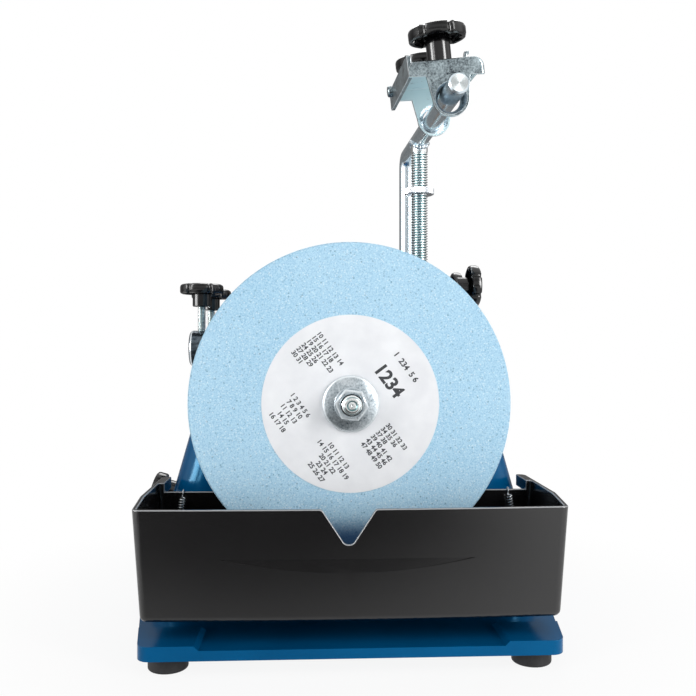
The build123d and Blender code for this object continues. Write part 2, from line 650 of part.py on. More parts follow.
def capacitor_clamp():
    start, end = CAPACITOR_Y - CLAMP_WIDTH / 2, CAPACITOR_Y + CLAMP_WIDTH / 2
    radius = CAPACITOR_DIA / 2 + SEAT
    strap = rod_y(radius + CLAMP_SHEET, start, end, CAPACITOR_X, capacitor_z())
    ear = CAPACITOR_X + CAPACITOR_DIA
    strap += block(CAPACITOR_X, ear, start, end, BASE_TOP, BASE_TOP + CLAMP_SHEET)
    strap -= rod_y(radius, start, end, CAPACITOR_X, capacitor_z())
    return strap & block(0, HOUSING_HALF_BOTTOM, start, end, BASE_TOP, HOUSING_TOP_Z)


def switch_body():
    """Switch behind the left wall, with a threaded neck through it."""
    case = Pos(0, 0, -HOUSING_WALL - SWITCH_DEPTH / 2) * Box(SWITCH_SIDE, SWITCH_SIDE, SWITCH_DEPTH)
    case += rod_z(SWITCH_NECK_DIA / 2, -HOUSING_WALL, SWITCH_HUB / 4)
    return wall_frame() * (case - rod_z(SWITCH_SHAFT_DIA / 2 + RUN, -SWITCH_DEPTH / 2, SWITCH_HUB))


def switch_knob():
    """Fluted knob with a skirt that clears the neck, and its spindle."""
    lift = FREE
    head = Pos(0, 0, lift) * star_knob(
        SWITCH_KNOB_DIA, SWITCH_KNOB_DISC, SWITCH_HUB_DIA, SWITCH_HUB, SWITCH_LOBES,
        SWITCH_NECK_DIA + 2 * FREE, SWITCH_HUB / 2,
    )
    spindle = rod_z(SWITCH_SHAFT_DIA / 2, -SWITCH_DEPTH / 2 + FREE, lift + SWITCH_HUB)
    return wall_frame() * (head + spindle)


def cord_gland():
    """Gland through the back wall, open for the lead."""
    inner = HOUSING_BACK - 2 * HOUSING_WALL
    body = rod_y(GLAND_DIA / 2, inner, HOUSING_BACK, GLAND_X, GLAND_Z)
    nut = Pos(GLAND_X, HOUSING_BACK, GLAND_Z) * Rot(-90, 0, 0) * hex_prism(GLAND_HEX, GLAND_HEX_HEIGHT)
    nose_end = HOUSING_BACK + GLAND_HEX_HEIGHT + GLAND_NOSE
    nose = rod_y(GLAND_DIA / 2, HOUSING_BACK, nose_end, GLAND_X, GLAND_Z)
    nose = fillet(edges_at(nose, Axis.Y, nose_end), GLAND_NOSE * 0.3)
    return body + nut + nose - rod_y(GLAND_BORE / 2, inner, nose_end, GLAND_X, GLAND_Z)


# Spindle

def spindle_shaft():
    shaft = rod_y(STUB_DIA / 2, SPINDLE_FRONT, SPINDLE_BACK)
    shaft = chamfer(edges_at(shaft, Axis.Y, SPINDLE_FRONT), SHAFT_CHAMFER)
    shaft += rod_y(SHAFT_DIA / 2, SHOULDER_Y, REAR_SHOULDER)
    return shaft - drive_pin_hole(SEAT)


def grinding_stone():
    stone = rod_y(STONE_DIA / 2, STONE_FACE_Y, STONE_BACK_Y)
    rims = edges_at(stone, Axis.Y, STONE_FACE_Y) + edges_at(stone, Axis.Y, STONE_BACK_Y)
    stone = chamfer(rims, STONE_CHAMFER)
    return stone - rod_y(STUB_DIA / 2 + SEAT, STONE_FACE_Y, STONE_BACK_Y)


def stone_label():
    return ring_y(LABEL_DIA / 2, LABEL_BORE / 2, LABEL_FACE, STONE_FACE_Y)


def inner_flange():
    washer = rod_y(FLANGE_DIA / 2, STONE_BACK_Y, SHOULDER_Y)
    washer = chamfer(edges_at(washer, Axis.Y, SHOULDER_Y), FLANGE_BEVEL)
    return washer - rod_y(STUB_DIA / 2 + SEAT, STONE_BACK_Y, SHOULDER_Y)


def outer_flange():
    washer = rod_y(FLANGE_DIA / 2, NUT_BACK, LABEL_FACE)
    washer = chamfer(edges_at(washer, Axis.Y, NUT_BACK), FLANGE_BEVEL)
    return washer - rod_y(STUB_DIA / 2 + SEAT, NUT_BACK, LABEL_FACE)


def stone_nut():
    """Hexagon nut with a round collar, corners to the left and right."""
    nut = hex_prism(NUT_ACROSS_FLATS, NUT_COLLAR_HEIGHT + NUT_HEIGHT)
    nut += rod_z(NUT_COLLAR_DIA / 2, 0, NUT_COLLAR_HEIGHT)
    nut -= rod_z(STUB_DIA / 2 + SEAT, 0, NUT_COLLAR_HEIGHT + NUT_HEIGHT)
    return Pos(0, NUT_BACK, SPINDLE_Z) * Rot(90, 0, 0) * nut


def hub_middle():
    return TYRE_BACK - DRIVE_HUB_LENGTH + DRIVE_PIN_DIA * 1.2


def drive_pin_hole(clearance):
    half = DRIVE_HUB_DIA / 2
    return rod_x(DRIVE_PIN_DIA / 2 + clearance, -half, half, hub_middle(), SPINDLE_Z)


def drive_pin():
    half = DRIVE_HUB_DIA / 2 - SEAT
    return rod_x(DRIVE_PIN_DIA / 2, -half, half, hub_middle(), SPINDLE_Z)


def drive_wheel():
    outer = DRIVE_DIA / 2 - TYRE_THICKNESS
    web_front = (TYRE_FRONT + TYRE_BACK - DRIVE_WEB) / 2
    wheel = ring_y(outer, outer - DRIVE_RIM, TYRE_FRONT, TYRE_BACK)
    wheel += rod_y(outer - DRIVE_RIM / 2, web_front, web_front + DRIVE_WEB)
    wheel += rod_y(DRIVE_HUB_DIA / 2, TYRE_BACK - DRIVE_HUB_LENGTH, TYRE_BACK)
    hole_circle = (outer - DRIVE_RIM + DRIVE_HUB_DIA / 2) / 2
    hole = (outer - DRIVE_RIM - DRIVE_HUB_DIA / 2) * 0.3
    for index in range(DRIVE_HOLES):
        turn = 2 * pi * index / DRIVE_HOLES
        x, z = hole_circle * cos(turn), SPINDLE_Z + hole_circle * sin(turn)
        wheel -= rod_y(hole, TYRE_FRONT, TYRE_BACK, x, z)
    wheel -= rod_y(SHAFT_DIA / 2 + SEAT, TYRE_BACK - DRIVE_HUB_LENGTH, TYRE_BACK)
    return wheel - drive_pin_hole(SEAT)


def drive_tyre():
    return ring_y(DRIVE_DIA / 2, DRIVE_DIA / 2 - TYRE_THICKNESS, TYRE_FRONT, TYRE_BACK)


def honing_wheel():
    """Moulded wheel with a web, ribs on its outer side and a hub."""
    outer = HONING_DIA / 2 - LEATHER
    wheel = ring_y(outer, outer - HONING_RIM, HONING_FRONT, HONING_BACK)
    web_front = HONING_FRONT + HONING_WIDTH * 0.3
    wheel += rod_y(outer - HONING_RIM / 2, web_front, web_front + HONING_WEB)
    wheel += rod_y(HONING_HUB_DIA / 2, HONING_FRONT, HONING_BACK)
    half = HONING_WEB / 2
    rib = block(0, outer - HONING_RIM / 2, web_front, HONING_BACK - HONING_RIM, -half, half)
    for index in range(HONING_RIBS):
        wheel += Pos(0, 0, SPINDLE_Z) * Rot(0, 360 / HONING_RIBS * index, 0) * rib
    return wheel - rod_y(STUB_DIA / 2 + SEAT, HONING_FRONT, HONING_BACK)


def leather_rim():
    return ring_y(HONING_DIA / 2, HONING_DIA / 2 - LEATHER, HONING_FRONT, HONING_BACK)


def honing_washers():
    bore = STUB_DIA / 2 + SEAT
    front = ring_y(HONING_WASHER_DIA / 2, bore, REAR_SHOULDER, HONING_FRONT)
    return Part() + [front, ring_y(HONING_WASHER_DIA / 2, bore, HONING_BACK, HAND_NUT_FRONT)]


def honing_hand_nut():
    nut = star_knob(
        HAND_NUT_DIA, HAND_NUT_DISC, HAND_NUT_HUB_DIA, HAND_NUT_HUB, KNOB_LOBES,
        STUB_DIA + 2 * SEAT, STUB_IN_HAND_NUT + SEAT,
    )
    return Pos(0, HAND_NUT_FRONT, SPINDLE_Z) * Rot(-90, 0, 0) * nut


# Rotor

def rotor_shaft():
    shaft = rod_y(ROTOR_SHAFT_DIA / 2, MOTOR_FRONT - BRACKET_SHEET, TYRE_FRONT - FREE, MOTOR_X, MOTOR_Z)
    return shaft + rod_y(ROLLER_SEAT_DIA / 2, TYRE_FRONT - FREE, TYRE_BACK + FREE, MOTOR_X, MOTOR_Z)


def rotor_core():
    ends = (STATOR_FRONT + ROTOR_INSET, STATOR_BACK - ROTOR_INSET)
    return ring_y(ROTOR_DIA / 2, ROTOR_SHAFT_DIA / 2, *ends, MOTOR_X, MOTOR_Z)


def friction_roller():
    ends = (TYRE_FRONT - FREE, TYRE_BACK + FREE)
    return ring_y(ROLLER_DIA / 2, ROLLER_SEAT_DIA / 2, *ends, MOTOR_X, MOTOR_Z)


# Clamp knobs

def clamp_knob():
    return star_knob(
        CLAMP_DISC_DIA, CLAMP_DISC, CLAMP_HUB_DIA, CLAMP_HUB, KNOB_LOBES,
        CLAMP_SCREW_DIA + 2 * SEAT, SCREW_IN_HUB + SEAT,
    )


def side_clamp_place(y):
    return Pos(SIDE_SCREW_X, y, SIDE_HUB_Z)


def side_clamp_screw():
    tip = SIDE_SLEEVE_Z + SIDE_BORE_DIA / 2 + FREE - SIDE_HUB_Z
    return screw_z(CLAMP_SCREW_DIA, tip, SCREW_IN_HUB)


def top_clamp_place(y):
    return support_frame() * Pos(TOP_HUB_REACH, y, TOP_SCREW_Z) * Rot(0, 90, 0)


def top_clamp_screw():
    tip = ROD_DIA / 2 + FREE - TOP_HUB_REACH
    return screw_z(CLAMP_SCREW_DIA, tip, SCREW_IN_HUB)


# Tool support

def support_bar():
    """One bent rod: the bar and the plain leg."""
    corner_y = SLEEVE_SPACING - BEND_RADIUS
    corner_z = BAR_Z - BEND_RADIUS
    bar = rod_y(ROD_DIA / 2, -BAR_REACH, corner_y, 0, BAR_Z)
    bar = chamfer(edges_at(bar, Axis.Y, -BAR_REACH), BAR_CHAMFER)
    leg = rod_z(ROD_DIA / 2, LEG_BOTTOM_Z, corner_z, 0, SLEEVE_SPACING)
    leg = chamfer(edges_at(leg, Axis.Z, LEG_BOTTOM_Z), BAR_CHAMFER)
    section = Plane.XZ * Pos(BEND_RADIUS, 0) * Circle(ROD_DIA / 2)
    turn = revolve(section, Axis.Z, 90)
    return support_frame() * (bar + leg + Pos(0, corner_y, corner_z) * Rot(0, -90, 0) * turn)


def threaded_leg():
    """Leg welded under the bar, coped to fit round it."""
    leg = rod_z(ROD_DIA / 2, LEG_BOTTOM_Z, BAR_Z)
    leg = chamfer(edges_at(leg, Axis.Z, LEG_BOTTOM_Z), BAR_CHAMFER)
    return support_frame() * (leg - rod_y(ROD_DIA / 2, -SLEEVE_SPACING, SLEEVE_SPACING, 0, BAR_Z))


def adjusting_nut():
    nut = rod_z(ADJUST_NUT_DIA / 2, 0, ADJUST_NUT) - rod_z(ROD_DIA / 2 + RUN, 0, ADJUST_NUT)
    return support_frame() * Pos(0, 0, ADJUST_NUT_Z) * nut


# Jig

def jig_place():
    """Local frame of the jig: origin at the front cheek on the line of its holes, local +Z up."""
    middle = JIG_SPAN / 2
    front = Pos(0, JIG_FROM_TIP - BAR_REACH, BAR_Z) * Rot(0, 0, -JIG_YAW)
    lean = Pos(0, middle, 0) * Rot(0, -JIG_TILT, 0) * Rot(JIG_PITCH, 0, 0) * Pos(0, -middle, 0)
    return support_frame() * front * lean


def jig_band(left, inset):
    """Wide upper band of a cheek, rounded at its upper corners, drawn in (x, z)."""
    start, end, top = inset - left, JIG_RIGHT - inset, JIG_TOP - inset
    low_left, low_right = JIG_TOP - JIG_LEFT_DROP, JIG_TOP - JIG_RIGHT_DROP
    face = make_face(Polyline((start, low_left), (end, low_right), (end, top), (start, top), close=True))
    return fillet(face.vertices().sort_by(Axis.Y)[-2:], JIG_END_ROUND - inset)


def jig_cheek(left):
    """T-shaped cheek whose lobe surrounds the hole that rides on the bar."""
    lobe = JIG_LOBE_DIA / 2
    neck = JIG_TOP - JIG_LEFT_DROP + JIG_SHEET / 2
    centre = Pos(JIG_HOLE_X, 0)
    taper = [(-JIG_CHEEK_LEFT, neck), (JIG_CHEEK_RIGHT, neck)]
    taper += [(JIG_HOLE_X + lobe, 0), (JIG_HOLE_X - lobe, 0)]
    outline = jig_band(left, 0) + make_face(Polyline(*taper, close=True)) + centre * Circle(lobe)
    return outline - centre * Circle(JIG_HOLE_DIA / 2)


def jig_inner_left():
    """Left end of the top plate and of the rear cheek, against the side plate."""
    return JIG_LEFT - JIG_SHEET - SEAT


def jig_top_plate():
    """Top plate whose right end curls down."""
    skin = jig_band(2 * JIG_LEFT, 0) - jig_band(2 * JIG_LEFT, JIG_SHEET)
    keep = JIG_END_ROUND * 2
    left, right = -jig_inner_left(), JIG_RIGHT
    skin &= Pos((left + right) / 2, JIG_TOP) * Rectangle(right - left, keep)
    return prism_y(skin, 0, JIG_LENGTH)


def jig_tab():
    """Small bent tab that stands on the top plate."""
    foot, top = JIG_TOP - JIG_SHEET / 2, JIG_TOP + JIG_TAB_RISE
    outer, inner = JIG_TAB_X, JIG_TAB_X + JIG_TAB_SHEET
    tip = inner + 2 * JIG_TAB_SHEET
    outline = [(outer, foot), (inner, foot), (inner + JIG_TAB_SHEET, top - JIG_TAB_SHEET)]
    outline += [(tip, top - JIG_TAB_SHEET), (tip, top), (inner, top)]
    return prism_y(make_face(Polyline(*outline, close=True)), JIG_TAB_Y, JIG_TAB_Y + 2 * JIG_TAB_SHEET)


def jig_bracket():
    """Pressed bracket: top plate and two cheeks that ride on the bar."""
    bracket = prism_y(jig_cheek(JIG_LEFT), 0, JIG_SHEET) + jig_top_plate()
    bracket = fillet(edges_at(edges_at(bracket, Axis.Z, JIG_TOP), Axis.Y, 0), JIG_SHEET * 0.8)
    bracket += prism_y(jig_cheek(jig_inner_left()), JIG_SPAN - JIG_SHEET, JIG_SPAN) + jig_tab()
    for y in (JIG_KNOB_Y, JIG_REAR_KNOB_Y):
        bracket -= rod_z(JIG_SCREW_DIA / 2 + RUN, JIG_TOP - JIG_SCREW_REACH, 2 * JIG_TOP, JIG_KNOB_X, y)
    return jig_place() * bracket


def side_plate_screw_place():
    """Outer face of the side plate at its screw: local +Z points out of it."""
    y, z = JIG_LENGTH - SIDE_PLATE_SCREW_INSET, JIG_TOP + SIDE_PLATE_SCREW_RISE
    return Pos(-JIG_LEFT, y, z) * Rot(0, -90, 0)


def jig_side_plate():
    """Strip along the left end of the top plate, behind the front cheek."""
    start, end = JIG_SHEET + SEAT, JIG_LENGTH - SIDE_PLATE_SETBACK
    low, high = JIG_TOP - SIDE_PLATE_DROP, JIG_TOP + SIDE_PLATE_RISE
    face = make_face(Polyline((start, low), (end, low), (end, high), (start, high), close=True))
    plate = extrude(Plane.YZ * fillet(face.vertices(), SIDE_PLATE_ROUND), JIG_SHEET)
    hole = side_plate_screw_place() * Cylinder(SIDE_PLATE_SCREW_DIA / 2 + SEAT, 4 * JIG_SHEET)
    return jig_place() * (Pos(-JIG_LEFT, 0, 0) * plate - hole)


def jig_plate_screw():
    screw = rod_z(SIDE_PLATE_SCREW_DIA / 2, -SIDE_PLATE_SCREW_REACH, 0)
    head = rod_z(SIDE_PLATE_HEAD_DIA / 2, 0, SIDE_PLATE_HEAD)
    head = fillet(edges_at(head, Axis.Z, SIDE_PLATE_HEAD), SIDE_PLATE_HEAD * 0.4)
    return jig_place() * side_plate_screw_place() * (screw + head)


def jig_knob():
    return star_knob(
        JIG_KNOB_DIA, JIG_DISC, JIG_HUB_DIA, JIG_HUB, KNOB_LOBES,
        JIG_SCREW_DIA + 2 * SEAT, SCREW_IN_HUB + SEAT,
    )


def jig_screw():
    return screw_z(JIG_SCREW_DIA, -JIG_SCREW_REACH, SCREW_IN_HUB)


def jig_knob_place(y):
    return jig_place() * Pos(JIG_KNOB_X, y, JIG_TOP)


# Water tray

def tray_section(half, front, back, corner, z):
    """Rounded plan with a front edge that bows outwards."""
    bow = ThreePointArc((half, front), (0, front - TRAY_BOW), (-half, front))
    sides = Polyline((-half, front), (-half, back), (half, back), (half, front))
    plan = make_face(bow.edges() + sides.edges())
    return Pos(0, 0, z) * fillet(plan.vertices(), corner)


def tray_form(inset):
    """Drafted tub, taken in by a wall."""
    corner = TRAY_CORNER - inset
    bottom = TRAY_BOTTOM_Z + inset
    back = TRAY_BACK - inset
    lower = tray_section(TRAY_HALF_BOTTOM - inset, TRAY_FRONT_Y + TRAY_DRAFT + inset, back, corner, bottom)
    upper = tray_section(TRAY_HALF_TOP - inset, TRAY_FRONT_Y + inset, back, corner, TRAY_RIM_Z)
    tub = loft([lower, upper], ruled=True)
    return fillet(edges_at(tub, Axis.Z, bottom), TRAY_BOTTOM_ROUND - inset)


def tray_prong(side):
    """Prong that reaches back beside the housing, rounded at its end."""
    inner, outer = sorted((side * (TRAY_HALF_TOP - PRONG_WIDTH), side * TRAY_HALF_TOP))
    end = HOUSING_FRONT + PRONG_PAST_FRONT
    prong = block(inner, outer, TRAY_BACK - TRAY_CORNER, end, TRAY_RIM_Z - PRONG_HEIGHT, TRAY_RIM_Z)
    end_edges = edges_at(prong, Axis.Y, end).filter_by(Axis.Z).sort_by(Axis.X)
    return fillet(end_edges[-1] if side > 0 else end_edges[0], PRONG_ROUND)


def rim_cut():
    """Takes the front rim lower than the sides, with a ramp between."""
    level_end = TRAY_FRONT_Y + TRAY_CORNER
    ramp_end = level_end + TRAY_RAMP
    top = TRAY_RIM_Z + TRAY_WALL
    low_front = TRAY_FRONT_Y - 2 * TRAY_BOW
    outline = [(low_front, TRAY_FRONT_Z), (level_end, TRAY_FRONT_Z), (ramp_end, TRAY_RIM_Z)]
    outline += [(ramp_end, top), (low_front, top)]
    return prism_x(outline, -2 * TRAY_HALF_TOP, 2 * TRAY_HALF_TOP)


def spout_cut():
    """V-shaped notch with a small flat, rounded lower corners and rounded lips."""
    rim, top, low = TRAY_FRONT_Z, TRAY_RIM_Z + TRAY_WALL, TRAY_FRONT_Z - SPOUT_DEPTH
    wide, flat, past = SPOUT_WIDTH / 2, SPOUT_FLAT / 2, SPOUT_WIDTH
    right = [(flat, low), (wide, rim), (past, rim), (past, top)]
    left = [(-x, z) for x, z in reversed(right)]
    face = make_face(Polyline(*right, *left, close=True))
    by_height = face.vertices().sort_by(Axis.Y)
    lips = [corner for corner in by_height[2:6] if abs(corner.X) < past - FREE]
    face = fillet(lips, SPOUT_LIP)
    face = fillet(face.vertices().sort_by(Axis.Y)[:2], SPOUT_FLAT * 0.8)
    return Pos(FRONT_X, 0, 0) * prism_y(face, TRAY_FRONT_Y - 2 * TRAY_BOW, TRAY_FRONT_Y + 4 * TRAY_WALL)


def grip_cut(outside):
    """Shallow recess, deepest at its straight upper edge and running out at its lower arc."""
    top = TRAY_RIM_Z - GRIP_DROP
    low = top - GRIP_HEIGHT
    start, end = (FRONT_X - GRIP_WIDTH / 2, top), (FRONT_X + GRIP_WIDTH / 2, top)
    chord = Line(start, end)
    arc = ThreePointArc(end, (FRONT_X, low), start)
    face = make_face(chord.edges() + arc.edges())
    zone = prism_y(face, TRAY_FRONT_Y - 2 * TRAY_BOW, TRAY_FRONT_Y + 3 * TRAY_WALL)
    share = (TRAY_RIM_Z - low) / (TRAY_RIM_Z - TRAY_BOTTOM_Z)
    face_y = TRAY_FRONT_Y - TRAY_BOW + TRAY_DRAFT * share
    turn = -degrees(atan(GRIP_DEPTH / GRIP_HEIGHT))
    pivot = Pos(0, face_y, low)
    return zone - pivot * Rot(turn, 0, 0) * pivot.inverse() * outside


def tray_hook():
    """Tongue behind the back wall that drops into a hanger."""
    slot_back = HOUSING_FRONT - HANGER_SHEET
    tongue_back = slot_back - FREE
    tongue_front = slot_back - HANGER_SLOT + FREE
    low = HANGER_Z + HANGER_SHEET + FREE
    shoulder = HANGER_Z + HANGER_LIP + FREE
    top = shoulder + TRAY_WALL
    outline = [(TRAY_BACK - TRAY_WALL / 2, shoulder), (tongue_front, shoulder)]
    outline += [(tongue_front, low), (tongue_back, low)]
    outline += [(tongue_back, top), (TRAY_BACK - TRAY_WALL / 2, top)]
    return prism_x(outline, -LUG_WIDTH / 2, LUG_WIDTH / 2)


def water_tray():
    outside = tray_form(0)
    tray = outside + tray_prong(-1) + tray_prong(1) - tray_form(TRAY_WALL)
    tray -= rim_cut()
    tray -= spout_cut()
    tray -= grip_cut(outside)
    notch = TRAY_HALF_TOP - PRONG_WIDTH
    inside, behind = TRAY_BACK - 2 * TRAY_WALL, TRAY_BACK + FREE
    tray -= block(-notch, notch, inside, behind, TRAY_BACK_Z, TRAY_RIM_Z + FREE)
    for side in (-1, 1):
        tray += Pos(side * HANGER_X, 0, 0) * tray_hook()
        tray += spring_lug(side)
    return tray


def tray_hangers():
    """Hooks on the housing front that carry the tray."""
    back = HOUSING_FRONT
    plate, lip = back - HANGER_SHEET, back - HANGER_SHEET - HANGER_SLOT
    floor = HANGER_Z + HANGER_SHEET
    outline = [(back, HANGER_Z), (back, HANGER_Z + HANGER_HEIGHT), (plate, HANGER_Z + HANGER_HEIGHT)]
    outline += [(plate, floor), (lip, floor), (lip, HANGER_Z + HANGER_LIP)]
    outline += [(lip - HANGER_SHEET, HANGER_Z + HANGER_LIP), (lip - HANGER_SHEET, HANGER_Z)]
    hanger = prism_x(outline, -HANGER_WIDTH / 2, HANGER_WIDTH / 2)
    return Part() + [Pos(side * HANGER_X, 0, 0) * hanger for side in (-1, 1)]


# Sprung wires

def spring_axis_y():
    return TRAY_BACK - TRAY_WALL - SPRING_WALL_GAP


def spring_lug(side):
    """Small bracket on the back wall that the wire stands on."""
    x, y = side * SPRING_X, spring_axis_y()
    half = SPRING_MEAN_DIA
    wall = TRAY_BACK - TRAY_WALL / 2
    return block(x - half, x + half, y - half, wall, SPRING_FOOT_Z - SPRING_LUG, SPRING_FOOT_Z)


def biarc(start, heading, end, end_heading):
    """Two tangent arcs between two points with given headings."""
    span = end - start
    both = heading + end_heading
    spread = 2 * (1 - heading.dot(end_heading))
    along = span.dot(both)
    reach = (sqrt(along * along + spread * span.dot(span)) - along) / spread
    middle = (start + end + (heading - end_heading) * reach) / 2
    first = TangentArc(start, middle, tangent=heading)
    return [first, TangentArc(middle, end, tangent=first % 1)]


def spring_route(side):
    """Points and headings: up from the lug, round the coil, over the back wall and down behind it."""
    up = Vector(0, 0, 1)
    lean = radians(SPRING_LEAN) * -side
    axis = Vector(sin(lean), 0, cos(lean))
    across = Vector(cos(lean), 0, -sin(lean))
    away = Vector(0, 1, 0)
    radius = SPRING_MEAN_DIA / 2
    foot = Vector(side * SPRING_X, spring_axis_y(), SPRING_FOOT_Z)
    base = foot + axis * (SPRING_WIRE + radius)
    route = [(foot + up * SPRING_WIRE, up)]
    for step in range(2 * SPRING_TURNS + 1):
        turn = pi * step + pi / 2
        out = across * cos(turn) + away * sin(turn)
        place = base + out * radius + axis * (SPRING_PITCH * step / 2)
        round_it = across * -sin(turn) + away * cos(turn)
        route.append((place, (round_it * (2 * pi * radius) + axis * SPRING_PITCH).normalized()))
    hook = TRAY_WALL / 2 + SPRING_WIRE + FREE / 2
    crown = Vector(route[-1][0].X, TRAY_BACK - TRAY_WALL / 2, TRAY_BACK_Z - TRAY_WALL / 2)
    route.append((crown - away * hook, up))
    route.append((crown + up * hook, away))
    route.append((crown + away * hook, up * -1))
    return foot, route


def least_gap(points):
    """Least distance between parts of the wire that are over half a turn apart along it."""
    far = pi * SPRING_MEAN_DIA / 2
    step = (points[1] - points[0]).length
    skip = int(far / step)
    gaps = [(a - b).length for i, a in enumerate(points) for b in points[i + skip:]]
    return min(gaps) - SPRING_WIRE


def tray_spring(side):
    foot, route = spring_route(side)
    edges = [Line(foot, route[0][0])]
    for (start, heading), (end, end_heading) in zip(route, route[1:]):
        edges += biarc(start, heading, end, end_heading)
    tail = route[-1][0]
    edges.append(Line(tail, tail + route[-1][1] * SPRING_WIRE))
    wire = Wire([edge.edge() for edge in edges])
    samples = int(wire.length / (SPRING_WIRE / 2))
    points = [wire @ (index / samples) for index in range(samples + 1)]
    print("least gap of the sprung wire", round(least_gap(points), 2))
    section = Plane(foot, z_dir=(0, 0, 1)) * Circle(SPRING_WIRE / 2)
    return sweep(section, path=wire)


def tray_springs():
    return Part() + [tray_spring(side) for side in (-1, 1)]


def parts():
    """Every piece by the name of its node."""
    knobs = {
        "front_side_clamp": (side_clamp_place(FRONT_SLEEVE_Y), clamp_knob, side_clamp_screw),
        "rear_side_clamp": (side_clamp_place(REAR_SLEEVE_Y), clamp_knob, side_clamp_screw),
        "front_top_clamp": (top_clamp_place(0), clamp_knob, top_clamp_screw),
        "rear_top_clamp": (top_clamp_place(SLEEVE_SPACING), clamp_knob, top_clamp_screw),
        "front_jig": (jig_knob_place(JIG_KNOB_Y), jig_knob, jig_screw),
        "rear_jig": (jig_knob_place(JIG_REAR_KNOB_Y), jig_knob, jig_screw),
    }
    made = {
        "front_top_sleeve": top_sleeve(0),
        "rear_top_sleeve": top_sleeve(SLEEVE_SPACING),
        "front_side_sleeve": side_sleeve(FRONT_SLEEVE_Y),
        "rear_side_sleeve": side_sleeve(REAR_SLEEVE_Y),
    }
    for name, (place, knob, screw) in knobs.items():
        made[name + "_knob"] = place * knob()
        made[name + "_screw"] = place * screw()
    for piece in (
        base_plate, feet, foot_nuts, housing, housing_screws, front_bush, rear_bush, motor_stator,
        motor_front_shield, motor_rear_shield, motor_bracket, motor_bolts, run_capacitor, capacitor_clamp,
        switch_body, switch_knob, cord_gland, spindle_shaft, grinding_stone, stone_label, inner_flange,
        outer_flange, stone_nut, drive_pin, drive_wheel, drive_tyre, honing_wheel, leather_rim,
        honing_washers, honing_hand_nut, rotor_shaft, rotor_core, friction_roller, support_bar, threaded_leg,
        adjusting_nut, jig_bracket, jig_side_plate, jig_plate_screw, water_tray, tray_hangers, tray_springs,
    ):
        made[piece.__name__] = piece()
    return made


def main():
    os.makedirs("parts", exist_ok=True)
    for name, shape in parts().items():
        export_step(shape, "parts/" + name + ".step")


main()
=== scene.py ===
import json
from math import cos, pi, radians, sin, sqrt

import bmesh
import bpy
from mathutils import Matrix, Vector


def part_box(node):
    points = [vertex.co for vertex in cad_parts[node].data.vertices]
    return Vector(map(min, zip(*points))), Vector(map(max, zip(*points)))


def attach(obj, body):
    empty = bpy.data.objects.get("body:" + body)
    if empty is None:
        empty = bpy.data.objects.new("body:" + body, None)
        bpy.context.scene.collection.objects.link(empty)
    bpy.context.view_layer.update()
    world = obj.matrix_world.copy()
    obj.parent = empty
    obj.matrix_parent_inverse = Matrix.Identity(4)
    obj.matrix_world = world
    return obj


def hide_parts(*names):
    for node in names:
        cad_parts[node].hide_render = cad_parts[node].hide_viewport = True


# Looks of a wet sharpening machine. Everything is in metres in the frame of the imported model:
# +X right and +Y away from the viewer who faces the stone, +Z up. Named sizes are in millimetres.

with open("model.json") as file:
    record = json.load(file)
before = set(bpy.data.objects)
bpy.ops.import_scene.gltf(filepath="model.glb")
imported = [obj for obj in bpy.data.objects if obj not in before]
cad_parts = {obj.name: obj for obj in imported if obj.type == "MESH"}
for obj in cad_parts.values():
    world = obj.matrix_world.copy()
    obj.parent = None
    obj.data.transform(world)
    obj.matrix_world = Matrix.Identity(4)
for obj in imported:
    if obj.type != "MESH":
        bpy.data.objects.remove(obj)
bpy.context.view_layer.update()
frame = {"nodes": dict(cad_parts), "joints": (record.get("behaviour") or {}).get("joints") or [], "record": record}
NODES = frame["nodes"]
JOINTS = {joint["name"]: joint for joint in frame["joints"]}
SLOT_OF = {part["node"]: part["material_slot"] for part in frame["record"]["subparts"]}

MM = 0.001
TURN = 2 * pi
SPINDLE_X, _, SPINDLE_Z = JOINTS["spindle_spin"]["pos_m"]  # metres

# Camera, from the perspective of the photograph
CAMERA_PLACE = Vector((-25.2, -601.5, 190.4)) * MM
CAMERA_YAW = 2.7  # degrees to the right
IMAGE_WIDTH = 696
FOCAL_PIXELS = 810
SENSOR = 36.0

# Lamps in metres and watts: name, place, aim, width, height, power and whether gloss alone sees it
LAMPS = (
    ("key", (1.1, -1.02, 0.6), (0, -0.1, 0.15), 0.3, 1.3, 12.8, False),
    ("fill", (-1.2, -0.97, 0.7), (0, -0.1, 0.15), 0.25, 1.3, 7.4, False),
    ("back", (0.2, 1.1, 1.3), (0, 0, 0.2), 1.0, 0.6, 8.0, False),
    ("left_box", (-1.45, -0.5, 0.4), (0, -0.1, 0.2), 0.5, 0.6, 14.0, True),
    ("right_box", (1.0, -1.2, 0.6), (0, -0.1, 0.3), 0.4, 0.6, 9.0, True),
)

# What gloss sees of the room's front and rear: places from straight down to straight up, and brightness
FRONT_BANDS = ((0.38, 0.02), (0.47, 0.2), (0.52, 0.3), (0.58, 0.8), (0.65, 0.9), (0.74, 0.4), (0.84, 0.3),
               (0.92, 1.0))
REAR_BANDS = ((0.45, 0.18), (0.7, 0.25), (0.86, 1.0))
FLOOR_RADIUS = 6.0  # metres

# Sides of the round bodies
SIDES = {"knob": 180, "screw": 20, "leg": 32, "rod": 40, "rod_face": 48, "collar": 64, "spindle": 48,
         "fastening": 96, "leather": 720, "floor": 96}

# Rounding of edges: edges sharper than an angle are rounded, and faces flatter than another are joined first
SHARP_ANGLE = 28  # degrees
FLAT_ANGLE = 0.6  # degrees
MERGE_DISTANCE = 0.001
WEIGHT_ANGLE = 40  # degrees between faces that share their shading
BASE_ROUNDING = 1.2
SLEEVE_ROUNDING = 0.6
TRAY_ROUNDING = 0.6
JIG_ROUNDING = 0.5

